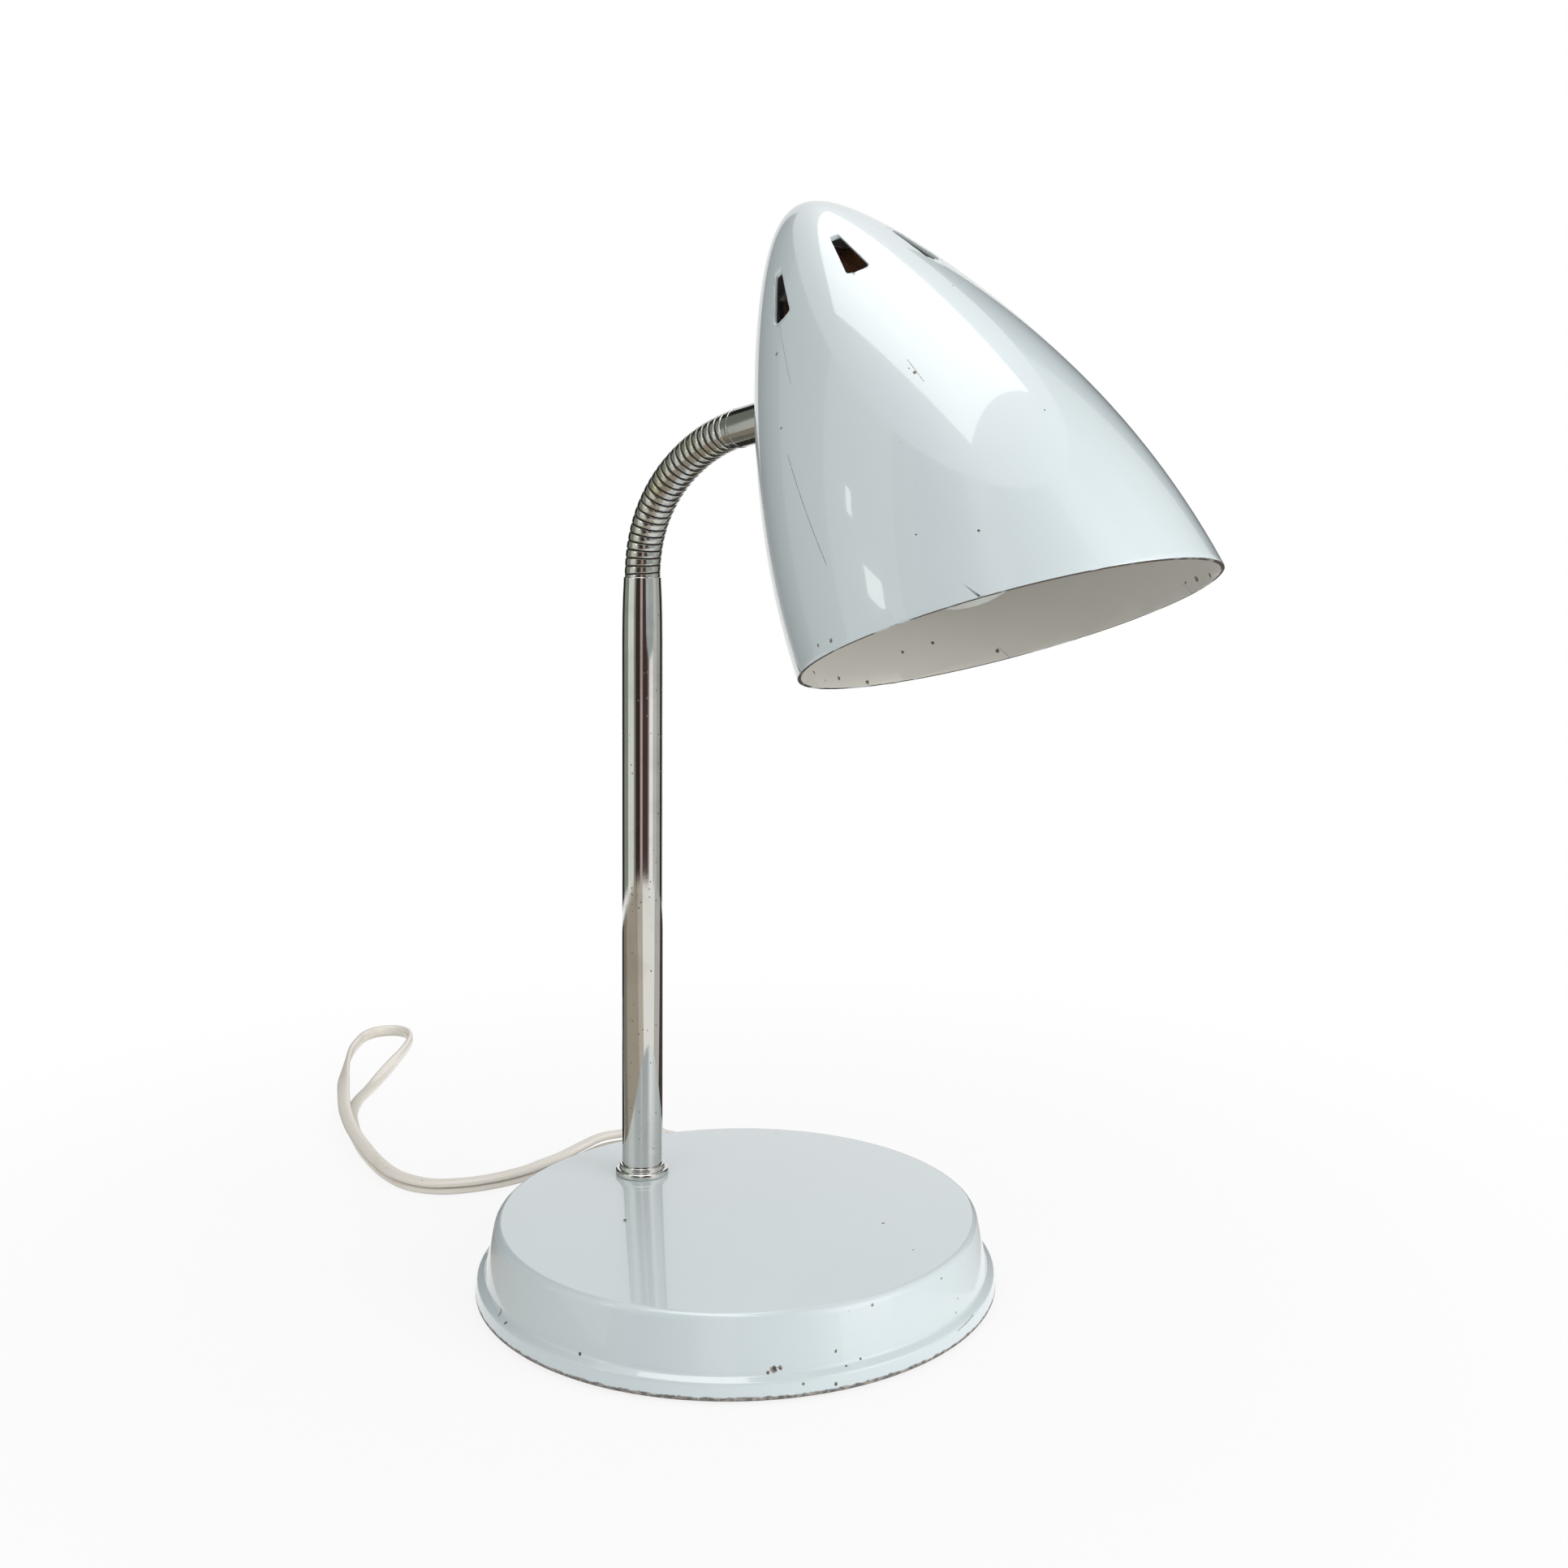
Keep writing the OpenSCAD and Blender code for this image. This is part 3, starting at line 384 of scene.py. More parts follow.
def enamel(name, colour, chips, scratches=(), foot=None, gloss=1.0):
    """Stoved enamel on steel: a clear coat over a faintly clouded colour, with chips down to dark metal.

    Below foot, a height in millimetres, the enamel is rubbed off to dark metal; this dark band is partly real
    wear and partly a painted shadow along the bottom edge.
    """
    f = Finish(name, {"Specular IOR Level": 0.4, "Coat Roughness": 0.045, "Coat IOR": 1.5})
    p = f.place()
    wear = bpy.context.scene.lamp_finish.wear
    cloud = f.noise(p, 16, 3, 0.55)
    fine = f.noise(p, 420, 2)
    ragged = (f.noise(p, 1600, 3, 0.7) - 0.5) * 1.6
    chip = all_marks(f, p, chips, ragged) * wear
    for a, b, normal, width in scratches:
        chip = chip | f.line(p, a, b, normal, width, ragged) * (0.75 * wear)
    dust = f.specks(p, 210, 0.07, 0.05) * 0.35
    # The dark band below foot is partly rubbed enamel and partly painted shadow, darkening the bottom edge
    # where the floor's shade falls.
    if foot is not None:
        z = f.split(p)[2] / MM
        rubbed = f.ease(z + (fine - 0.5) * 1.2, foot + 0.5, foot) * wear
        chip = chip | rubbed * 0.9
    pale = f.ease(cloud, 0.2, 0.8)
    coat = f.mix(tone(colour, 0.985), tone(colour, 1.015), pale)
    coat = f.mix(coat, DUST, dust)
    metal = f.mix(DARK_STEEL, BROWN_STEEL, f.ease(f.noise(p, 700, 2), 0.35, 0.7))
    f.give("Base Color", f.mix(coat, metal, chip))
    f.give("Roughness", 0.27 + pale * 0.06 + chip * 0.35)
    f.give("Coat Weight", (1 - chip) * gloss)
    orange_peel = f.noise(p, 150, 1)
    f.bump(orange_peel * 0.35 + fine * 0.05 - chip * 2.2, 0.03)
    return f.material


def bare_edge(name):
    """The cut edge of the sheet, where the enamel is rubbed to dark steel in places."""
    f = Finish(name, {"Specular IOR Level": 0.4})
    p = f.place()
    worn = f.ease(f.noise(p, 90, 3, 0.6), 0.36, 0.5)
    fine = f.noise(p, 900, 2)
    steel = f.mix((0.04, 0.035, 0.03), (0.16, 0.13, 0.11), fine)
    f.give("Base Color", f.mix((0.50, 0.55, 0.56), steel, worn))
    f.give("Roughness", 0.35 + worn * 0.2)
    f.give("Metallic", worn * 0.5)
    f.bump(fine - worn, 0.04)
    return f.material


def plated(name, colour, haze=0.0, pits=0.06, grain=None, stains=None):
    """Bright plating over a drawn part: fine wipe marks, hazy patches and pits."""
    f = Finish(name)
    p = f.place()
    wear = bpy.context.scene.lamp_finish.wear
    drawn = f.noise(f.place(stretch=grain), 900, 2)
    patch = f.ease(f.noise(p, 60, 3, 0.6, 0.4), 0.45, 0.75)
    pit = (f.specks(p, 900, 0.3, pits) | f.specks(p, 380, 0.13, pits * 0.6)) * wear
    tarnish = f.ease(f.noise(p, 110, 4, 0.65, 0.6), 0.55, 0.8)
    mark = pit
    if stains:
        mark = mark | all_marks(f, p, stains, (f.noise(p, 1300, 3, 0.7) - 0.5) * 1.8) * wear
    bright = f.mix(colour, tone(colour, 0.86), patch)
    bright = f.mix(bright, tone(colour, (0.80, 0.72, 0.56)), tarnish * 0.35)
    f.give("Base Color", f.mix(bright, PIT, mark))
    f.give("Metallic", 1 - mark * 0.7)
    f.give("Roughness", 0.055 + haze + patch * 0.05 + tarnish * 0.07 + mark * 0.4)
    f.bump(drawn * 0.05 - pit * 0.8, 0.02)
    return f.material


def wound_strip(name, colour):
    """The gooseneck's strip: bright crowns with fine dents, yellowed in places, and grooves darkened towards
    black as painted shade.
    """
    f = Finish(name)
    p = f.place()
    crown = Num(f, f.node("ShaderNodeAttribute", {"attribute_name": "crown"}).outputs["Fac"])
    # Painted shade: the grooves between the turns are darkened towards black for the shade that falls in
    # them.
    groove = f.ease(crown, 0.9, 0.5)
    dents = f.noise(p, 1500, 3, 0.6)
    age = f.ease(f.noise(p, 75, 3, 0.6, 0.5), 0.42, 0.72)
    speck = f.specks(p, 800, 0.3, 0.14)
    bright = f.mix(colour, tone(colour, (0.84, 0.78, 0.60)), age)
    bright = f.mix(bright, (0.10, 0.08, 0.055), speck * 0.8)
    f.give("Base Color", f.mix(bright, (0.018, 0.015, 0.012), groove))
    f.give("Metallic", 1 - groove * 0.6 - speck * 0.3)
    f.give("Roughness", 0.10 + age * 0.09 + dents * 0.08 + groove * 0.4)
    f.bump(dents * 0.6 - speck, 0.012)
    return f.material


def cord_vinyl(name, colour, rough=0.34):
    """Vinyl: faint grey handling marks, specks of grime and a soft sheen."""
    f = Finish(name, {"Specular IOR Level": 0.45})
    p = f.place()
    smudge = f.ease(f.noise(p, 38, 4, 0.6, 0.3), 0.5, 0.78)
    grime = f.specks(p, 330, 0.16, 0.05)
    fine = f.noise(p, 1200, 2)
    body = f.mix(colour, tone(colour, (0.86, 0.82, 0.77)), smudge)
    f.give("Base Color", f.mix(body, GRIME, grime * 0.6))
    f.give("Roughness", rough + smudge * 0.12 + fine * 0.06)
    f.bump(fine * 0.5 + f.noise(p, 240, 2) * 0.8, 0.03)
    return f.material


def pressed_bakelite(name, colour):
    """Phenolic moulding: brown with darker and redder flow marks, polished."""
    f = Finish(name, {"Specular IOR Level": 0.55})
    p = f.place()
    flow = f.ease(f.noise(p, 55, 5, 0.62, 2.2), 0.35, 0.7)
    vein = f.ease(abs(f.noise(p, 90, 4, 0.6, 3.0) - 0.5), 0.03, 0.0)
    body = f.mix(colour, tone(colour, (2.2, 1.9, 1.5)), flow)
    f.give("Base Color", f.mix(body, tone(colour, 0.3), vein * 0.7))
    f.give("Roughness", 0.17 + flow * 0.1 + f.noise(p, 700, 2) * 0.08)
    f.bump(f.noise(p, 260, 2), 0.02)
    return f.material


def turned_brass(name):
    """Brass with fine turning marks, browned in places."""
    f = Finish(name)
    p = f.place()
    turning = f.noise(f.place(stretch=(1, 1, 0.02)), 60, 2)
    brown = f.ease(f.noise(p, 130, 4, 0.65), 0.45, 0.75)
    f.give("Base Color", f.mix((0.74, 0.55, 0.25), (0.34, 0.21, 0.10), brown))
    f.give("Metallic", 1 - brown * 0.3)
    f.give("Roughness", 0.20 + brown * 0.22 + turning * 0.1)
    f.bump(turning + f.noise(p, 1200, 2) * 0.3, 0.02)
    return f.material


def zinc_plate(name):
    """Zinc plating: small crystals of two greys, with a little rust."""
    f = Finish(name)
    p = f.place()
    _, grain = f.cells(p, 320)
    rust = f.ease(f.noise(p, 150, 4, 0.7), 0.62, 0.8)
    zinc = f.mix((0.52, 0.53, 0.53), (0.66, 0.66, 0.65), grain)
    f.give("Base Color", f.mix(zinc, (0.26, 0.13, 0.06), rust))
    f.give("Metallic", 1 - rust * 0.8)
    f.give("Roughness", 0.28 + grain * 0.12 + rust * 0.3)
    f.bump(grain * 0.3 + f.noise(p, 1400, 2), 0.015)
    return f.material


def cast_iron(name):
    """Cast iron with its grainy skin, rusted in places."""
    f = Finish(name, {"Specular IOR Level": 0.4})
    p = f.place()
    skin = f.noise(p, 480, 4, 0.6)
    rust = f.ease(f.noise(p, 60, 4, 0.6), 0.5, 0.72)
    f.give("Base Color", f.mix((0.055, 0.055, 0.06), (0.14, 0.07, 0.035), rust))
    f.give("Roughness", 0.6 + skin * 0.25)
    f.bump(skin, 0.25)
    return f.material


def wool_felt(name):
    """Dark green wool felt with curled fibres."""
    f = Finish(name, {"Specular IOR Level": 0.15, "Sheen Weight": 0.5})
    p = f.place()
    fibre = f.noise(p, 1500, 4, 0.7, 2.5)
    matted = f.noise(p, 120, 3, 0.6)
    f.give("Base Color", f.mix((0.03, 0.045, 0.032), (0.11, 0.14, 0.10), fibre * 0.7 + matted * 0.4))
    f.give("Roughness", 0.85 + fibre * 0.15)
    f.bump(fibre + matted * 0.6, 0.12)
    return f.material


def glazed_ceramic(name):
    """White glaze with stained, duller patches."""
    f = Finish(name, {"Specular IOR Level": 0.5})
    p = f.place()
    craze = f.ease(f.noise(p, 500, 2), 0.55, 0.7)
    f.give("Base Color", f.mix((0.80, 0.78, 0.72), (0.60, 0.56, 0.48), craze))
    f.give("Roughness", 0.16 + craze * 0.3)
    f.bump(f.noise(p, 300, 3), 0.03)
    return f.material


def opal_glass(name):
    """Milky white glass with faint clouds."""
    f = Finish(name, {"Specular IOR Level": 0.5, "Subsurface Weight": 0.3, "Subsurface Scale": 0.004})
    p = f.place()
    milk = f.noise(p, 30, 3, 0.5)
    f.give("Base Color", f.mix((0.66, 0.65, 0.61), (0.72, 0.71, 0.68), milk))
    f.give("Roughness", 0.10 + f.noise(p, 500, 2) * 0.1)
    f.bump(milk, 0.05)
    return f.material


# ------------------------------------------------------------------ shaping tools

TOUCH = 1e-7  # points nearer than this, in metres, are one


def clear_selection():
    """Leaves edit mode and deselects everything."""
    if bpy.context.object and bpy.context.object.mode != "OBJECT":
        bpy.ops.object.mode_set(mode="OBJECT")
    for o in bpy.context.scene.objects:
        o.select_set(False)


def pick(obj):
    """Selects one object and nothing else."""
    clear_selection()
    obj.select_set(True)
    bpy.context.view_layer.objects.active = obj


def open_mesh(obj):
    """Starts to edit one object, with all of its mesh selected."""
    pick(obj)
    bpy.ops.object.mode_set(mode="EDIT")
    bpy.ops.mesh.select_all(action="SELECT")


def close_mesh(merge=None):
    """Ends the edit; where merge is a distance, nearer points are joined first and faces turned outwards."""
    if merge:
        bpy.ops.mesh.select_all(action="SELECT")
        bpy.ops.mesh.remove_doubles(threshold=merge)
        bpy.ops.mesh.normals_make_consistent(inside=False)
    bpy.ops.object.mode_set(mode="OBJECT")


def draw_out(x, y, z):
    """Extrudes what is selected by a step in metres."""
    bpy.ops.mesh.extrude_region_move(TRANSFORM_OT_translate={"value": (x, y, z)})


def modify(obj, kind, **settings):
    """Adds a modifier, sets it and applies it."""
    modifier = obj.modifiers.new(kind, kind)
    for name, value in settings.items():
        setattr(modifier, name, value)
    pick(obj)
    bpy.ops.object.modifier_apply(modifier=modifier.name)


def settle(obj, matrix=None):
    """Moves an object to its place and puts that place into its mesh."""
    if matrix is not None:
        obj.matrix_world = matrix
        bpy.context.view_layer.update()
    pick(obj)
    bpy.ops.object.transform_apply(location=True, rotation=True, scale=True)


def ring_of_points(radius, count):
    """Evenly spaced points of a circle."""
    return [(radius * math.cos(2 * math.pi * i / count), radius * math.sin(2 * math.pi * i / count))
            for i in range(count)]


def rounded(corners, steps=6):
    """An outline of (radius, height) with its corners rounded; a corner is (radius, height, how round)."""
    out = []
    for i, (r, z, size) in enumerate(corners):
        here = Vector((r, z))
        if not size:
            out.append((r, z))
            continue
        a = (Vector(corners[i - 1][:2]) - here)
        b = (Vector(corners[i + 1][:2]) - here)
        half = a.angle(b) / 2
        cut = min(size / math.tan(half), a.length * 0.49, b.length * 0.49)
        middle = here + (a.normalized() + b.normalized()).normalized() * (cut / math.cos(half))
        p0, p1 = here + a.normalized() * cut - middle, here + b.normalized() * cut - middle
        a0, turn = math.atan2(p0.y, p0.x), p0.angle_signed(p1)
        for k in range(steps + 1):
            angle = a0 - turn * k / steps
            out.append((middle.x + p0.length * math.cos(angle), middle.y + p0.length * math.sin(angle)))
    return out


def turned(name, rows, sides, closed=False):
    """A turned part round Z, each ring drawn out of the one before, and the first out of the last if closed.

    Rows are (radius, height) in millimetres.
    """
    rows = [(r * MM, z * MM) for r, z in rows]
    first = 1 if rows[0][0] == 0 else 0
    clear_selection()
    bpy.ops.mesh.primitive_circle_add(vertices=sides, radius=rows[first][0], fill_type="NOTHING",
                                      location=(0, 0, rows[first][1]))
    obj = bpy.context.object
    obj.name = obj.data.name = name
    open_mesh(obj)
    chain = rows[first:] + ([rows[first]] if closed else [])
    for (r0, z0), (r1, z1) in zip(chain, chain[1:]):
        draw_out(0, 0, z1 - z0)
        if r1 == 0:
            bpy.ops.mesh.merge(type="CENTER")
        elif r1 != r0:
            bpy.ops.transform.resize(value=(r1 / r0, r1 / r0, 1), center_override=(0, 0, z1))
    if first:
        bpy.ops.mesh.select_all(action="DESELECT")
        mesh = bmesh.from_edit_mesh(obj.data)
        mesh.verts.ensure_lookup_table()
        for i in range(sides):
            mesh.verts[i].select_set(True)
        mesh.select_flush(True)
        bmesh.update_edit_mesh(obj.data)
        draw_out(0, 0, rows[0][1] - rows[1][1])
        bpy.ops.mesh.merge(type="CENTER")
    close_mesh(merge=TOUCH)
    settle(obj)
    return obj


def cut(obj, at, normal):
    """Cuts away what lies behind a plane."""
    open_mesh(obj)
    bpy.ops.mesh.bisect(plane_co=at, plane_no=normal, clear_inner=True)
    close_mesh()


def piece(obj, body, finishes, nodes=(), angle=40):
    """Smooths a finished piece, gives it its finishes, and sets what it rides on and stands for."""
    pick(obj)
    bpy.ops.object.shade_smooth_by_angle(angle=math.radians(angle))
    for finish in finishes:
        obj.data.materials.append(finish)
    if body:
        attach(obj, body)
    if nodes:
        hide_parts(*nodes)
    return obj


def dress(finish, *nodes):
    """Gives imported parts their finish."""
    for name in nodes:
        data = frame["nodes"][name].data
        data.materials.clear()
        data.materials.append(finish)


# ------------------------------------------------------------------ outline of the lamp, as in its source

# Millimetres and degrees. S runs down the shade's axis from its tip.
STEM_Y, STEM_TOP = 47.0, 230.3
LINKS, LINK = 12, 6.0
NECK_R = 6.1
NECK_TURN, NECK_BULGE = 80.5, 6.0
FERRULE = 23.5
TILT = 32.6
SHADE_LONG, SHADE_R = 163.0, 60.4
SWELL, TAPER = 0.71, 0.61
MOUTH_CUT = 13.25
MOUTH_S = SHADE_LONG - SHADE_R * math.tan(math.radians(MOUTH_CUT))
SHADE_WALL = 1.2
ARM_S = 50
NIPPLE_HOLE = 5.2
BASE_TOP, BASE_WALL = 23.3, 1.2
STEM_R, STEM_FOOT = 6.95, 23.35
VENTS = 8
VENT_S, VENT_LONG = 30.2, 12.6
VENT_TOP, VENT_FOOT, VENT_BOW = 1.05, 3.46, 0.6

STEM_PLACE = Matrix.Translation((0, STEM_Y * MM, 0))


def turn_at(t):
    """How far the neck has turned forward, in radians, at a share of its length."""
    return math.radians(NECK_TURN * t + NECK_BULGE / 2 * (1 - math.cos(2 * math.pi * t)))


def toward(a):
    """The direction that is turned forward from upright by an angle in radians."""
    return Vector((0, -math.sin(a), math.cos(a)))


def link_mid(k):
    """The middle of the neck where link k begins."""
    at = Vector((0, STEM_Y, STEM_TOP))
    for i in range(k):
        at = at + LINK / 2 * (toward(turn_at(i / LINKS)) + toward(turn_at((i + 1) / LINKS)))
    return at


def shade_at(s):
    """The shade's radius."""
    t = max(s, 0) / SHADE_LONG
    return SHADE_R * math.sqrt(t) * math.exp(SWELL * (t - 1) - TAPER * (t * t - 1))


def flare_at(s):
    """The angle in radians at which the shade's wall leaves its axis."""
    return math.atan(shade_at(s + 0.5) - shade_at(s - 0.5))


ARM_FOOT = link_mid(LINKS) + FERRULE * toward(turn_at(1))
SHADE_PLACE = (Matrix.Translation(ARM_FOOT * MM) @ Matrix.Rotation(math.radians(-TILT), 4, "X")
               @ Matrix.Translation(Vector((0, -shade_at(ARM_S), ARM_S)) * MM))


def on_shade(s, angle, inner=0.0):
    """A place on the shade, at an angle from its front towards -X and a depth under its outside."""
    r, a = shade_at(s) - inner, math.radians(angle)
    return tuple((SHADE_PLACE @ (Vector((-r * math.sin(a), -r * math.cos(a), -s)) * MM)) / MM)


def shade_normal(s, angle):
    """The direction in which the shade's wall faces there."""
    a, slope = math.radians(angle), flare_at(s)
    return SHADE_PLACE.to_3x3() @ Vector((-math.sin(a) * math.cos(slope), -math.cos(a) * math.cos(slope),
                                          math.sin(slope)))


# ------------------------------------------------------------------ shade

# Chips as a distance from the tip, an angle from the front and a radius.
SHADE_CHIPS = [(55.5, 96, 0.5), (89, 48, 0.6), (87, 49, 0.3), (79, 99, 0.45), (140, 53, 0.45), (133, 67, 0.3),
               (143, 102, 0.7), (144, 116, 0.6), (141, 108, 0.5), (113, 20, 0.3), (61, 12, 0.3)]
LINING_CHIPS = [(132, 174, 0.7), (134, -174, 0.8), (127, -157, 0.6), (127, -146, 0.6), (137, -128, 0.7),
                (154, -54, 1.0), (157, -45, 0.8), (152, -60, 0.5), (131, 160, 0.6), (133, 166, 0.4)]
RIM_CHIPS = [(148, 100, 0.8), (147, 112, 0.7), (149, 120, 0.5), (146, 90, 0.5)]
# The shell's rings: how many, how far past its length they go, and how they close up towards the tip.
SHADE_RINGS, PAST_MOUTH, TIP_CLOSER = 56, 1.02, 1.8
CUTTER_DEPTH, VENT_CORNER = 8, 0.85


def cutting_plate(name, outline, low, high, round_by=0.0, corners=()):
    """A plate with the given outline in millimetres, some of its corners rounded, drawn out along Z."""
    clear_selection()
    bpy.ops.mesh.primitive_circle_add(vertices=len(outline), radius=MM, fill_type="NGON")
    obj = bpy.context.object
    obj.name = obj.data.name = name
    open_mesh(obj)
    mesh = bmesh.from_edit_mesh(obj.data)
    mesh.verts.ensure_lookup_table()
    for vertex, (x, y) in zip(mesh.verts, outline):
        vertex.co = (x * MM, y * MM, low * MM)
        vertex.select_set(False)
    mesh.select_flush(False)
    for i in corners:
        mesh.verts[i].select_set(True)
    bmesh.update_edit_mesh(obj.data)
    if corners:
        bpy.ops.mesh.bevel(offset=round_by * MM, segments=5, affect="VERTICES")
    bpy.ops.mesh.select_all(action="SELECT")
    draw_out(0, 0, (high - low) * MM)
    close_mesh(merge=TOUCH)
    return obj


def cut_holes(obj, cutters, finishes=()):
    """Cuts the joined cutters out of a sheet with the given finishes; the holes' walls take the first."""
    clear_selection()
    for cutter in cutters:
        cutter.select_set(True)
    bpy.context.view_layer.objects.active = cutters[0]
    bpy.ops.object.join()
    cutter = cutters[0]
    for finish in finishes:
        cutter.data.materials.append(finish)
    modify(obj, "BOOLEAN", operation="DIFFERENCE", object=cutter, solver="EXACT")
    bpy.data.objects.remove(cutter)


def wall_place(s, angle):
    """A frame on the shade's wall whose Z points out of it and whose Y points to the tip."""
    return (SHADE_PLACE @ Matrix.Rotation(math.radians(angle), 4, "Z")
            @ Matrix.Translation(Vector((0, -shade_at(s), -s)) * MM) @ Matrix.Rotation(flare_at(s), 4, "X")
            @ Matrix.Rotation(math.radians(90), 4, "X"))


def make_shade():
    outside = enamel("shade_enamel", lamp_colour("enamel"),
                     [(*on_shade(s, a), r) for s, a, r in SHADE_CHIPS],
                     [(on_shade(88, 98), on_shade(125, 94), shade_normal(107, 96), 0.16),
                      (on_shade(47, 92), on_shade(69, 90), shade_normal(58, 91), 0.10),
                      (on_shade(84, 48), on_shade(93, 47), shade_normal(88, 48), 0.12)])
    # The lining's colour is darker than the paint itself, as painted shade for the inside of the shade.
    lining = enamel("shade_lining", lamp_colour("lining"),
                    [(*on_shade(s, a, SHADE_WALL), r) for s, a, r in LINING_CHIPS + RIM_CHIPS], gloss=0.25)
    rim = bare_edge("shade_bare_rim")
    rings = [SHADE_LONG * PAST_MOUTH * (i / SHADE_RINGS) ** TIP_CLOSER for i in range(SHADE_RINGS + 1)]
    sizes = bpy.context.scene.lamp_sizes
    obj = turned("shade_shell", [(shade_at(s), -s) for s in rings], sizes.shade_sides)
    slant = math.radians(MOUTH_CUT)
    cut(obj, (0, 0, -MOUTH_S * MM), (0, -math.sin(slant), math.cos(slant)))
    for finish in (outside, lining, rim):
        obj.data.materials.append(finish)
    modify(obj, "SOLIDIFY", thickness=SHADE_WALL * MM, offset=-1, use_even_offset=True, material_offset=1,
           material_offset_rim=2)
    settle(obj, SHADE_PLACE)
    middle = VENT_S + VENT_LONG / 2
    half = VENT_LONG / math.cos(flare_at(middle)) / 2
    outline = [(-VENT_TOP, half), (VENT_TOP, half), (VENT_FOOT, VENT_BOW - half), (0, -half),
               (-VENT_FOOT, VENT_BOW - half)]
    cutters = []
    for i in range(VENTS):
        if 2 * i == VENTS:
            continue  # the ferrule stands there
        vent = cutting_plate(f"vent_{i}", outline, -CUTTER_DEPTH, CUTTER_DEPTH, VENT_CORNER, (0, 1, 2, 4))
        settle(vent, wall_place(middle, 360 / VENTS * i))
        cutters.append(vent)
    hole = cutting_plate("arm_hole", ring_of_points(NIPPLE_HOLE, 48), -CUTTER_DEPTH, CUTTER_DEPTH)
    settle(hole, wall_place(ARM_S, 180))
    cut_holes(obj, cutters + [hole], (outside, lining, rim))
    modify(obj, "BEVEL", width=sizes.edge, segments=2, limit_method="ANGLE", angle_limit=math.radians(50),
           use_clamp_overlap=False)
    piece(obj, "head", (), ["shade"], 42)


# ------------------------------------------------------------------ base

# The cord's hole: its bearing from +X, its radius, and where its cutter starts and ends. Then the start and
# end of the cutter of the hole under the stem.
EXIT_BEARING, EXIT_HOLE, EXIT_SPAN = 60, 4, (60, 95)
STEM_HOLE_SPAN = (20, 26)
# Chips as a place and a radius.
BASE_CHIPS = [
    (-81.6, 17.3, 6.4, 0.6), (-80.3, -16.1, 7.5, 0.6), (-50.1, -64.5, 8.4, 1.1), (-48.6, -65.7, 8.7, 0.7),
    (-51.5, -63.7, 7.7, 0.6), (-45.2, -71.5, 4.7, 0.5), (-36.8, -76.4, 3.3, 0.6), (-33.9, -73.7, 11, 0.5),
    (-32.1, -76.2, 6.8, 0.4), (-27.2, -77.2, 7.5, 0.45), (13.5, -80.6, 8.6, 0.35), (15.7, -79.4, 11.9, 0.35),
    (8.4, -78.7, 20.4, 0.4), (-29.8, -73, 23.3, 0.55), (-20.9, -76.2, 21.1, 0.5), (-32.3, 19.3, 23.3, 0.8),
    (-33.2, 18.3, 23.3, 0.5), (23.1, -43.2, 23.3, 0.55), (13.4, -63.5, 23.3, 0.35), (60, 40, 23.2, 0.4),
    (30, 78, 9, 0.6), (-70, 42, 7, 0.6), (79, -20, 6, 0.7)]


def make_base():
    # The foot height of 1.9 mm widens the dark band at the bottom edge, which is partly worn enamel and
    # partly painted shadow.
    coat = enamel("base_enamel", lamp_colour("enamel"), BASE_CHIPS,
                  [((9.9, -84, 5.1), (20.8, -81.9, 5.8), (0.17, -0.98, 0), 0.2),
                   ((-79.4, 22.2, 6.4), (-78.8, 24.2, 7.8), (-0.96, 0.28, 0), 0.3)], foot=1.9)
    outline = rounded([
        (0, BASE_TOP, 0), (78.58, BASE_TOP, 2.6), (82.0, 7.2, 1.6), (84.5, 5.8, 1.1), (85.0, 1.3, 0.5),
        (84.4, 0.8, 0.3), (80.6, 0.8, 0.4), (80.6, 2.0, 0.4), (83.3, 2.0, 0.4), (83.2, 5.0, 0.6),
        (80.9, 6.6, 0.8), (77.4, BASE_TOP - BASE_WALL, 1.6), (0, BASE_TOP - BASE_WALL, 0)])
    obj = turned("base_pressing", outline, bpy.context.scene.lamp_sizes.base_sides)
    obj.data.materials.append(coat)
    exit_hole = cutting_plate("exit_hole", ring_of_points(EXIT_HOLE, 32), *EXIT_SPAN)
    settle(exit_hole, Matrix.Translation((0, 0, SLEEVE_END[2] * MM))
           @ Matrix.Rotation(math.radians(EXIT_BEARING), 4, "Z") @ Matrix.Rotation(math.radians(90), 4, "Y"))
    stem_hole = cutting_plate("stem_hole", ring_of_points(NIPPLE_HOLE, 32), *STEM_HOLE_SPAN)
    settle(stem_hole, STEM_PLACE)
    cut_holes(obj, [exit_hole, stem_hole])
    piece(obj, "stand", (), ["base_cover"], 35)


# ------------------------------------------------------------------ stem and gooseneck

# Stains on the plating as a place and a radius.
STEM_STAINS = [
    (4.2, 41.5, 66, 0.7), (4.9, 42.1, 61, 0.5), (5.6, 43, 57, 0.6), (-2, 40.4, 96, 0.4), (1, 40.1, 150, 0.35),
    (-4.4, 41.6, 198, 0.4), (3.2, 40.8, 182, 0.35), (-5, 42.1, 120, 0.35), (9, 47, 24.4, 0.9),
    (8.6, 44.4, 24.2, 0.7)]
# The hose's first stretch, over which its grooves grow from this share less to their full depth.
WORN_LENGTH, WORN_SHARE = 9, 0.6
STRIP_WALL = 0.45
# Brightness of the strip's and the ferrule's plating beside the stem's.
STRIP_TONE, FERRULE_TONE = 0.84, 0.62
BEAD_SIDES = 72


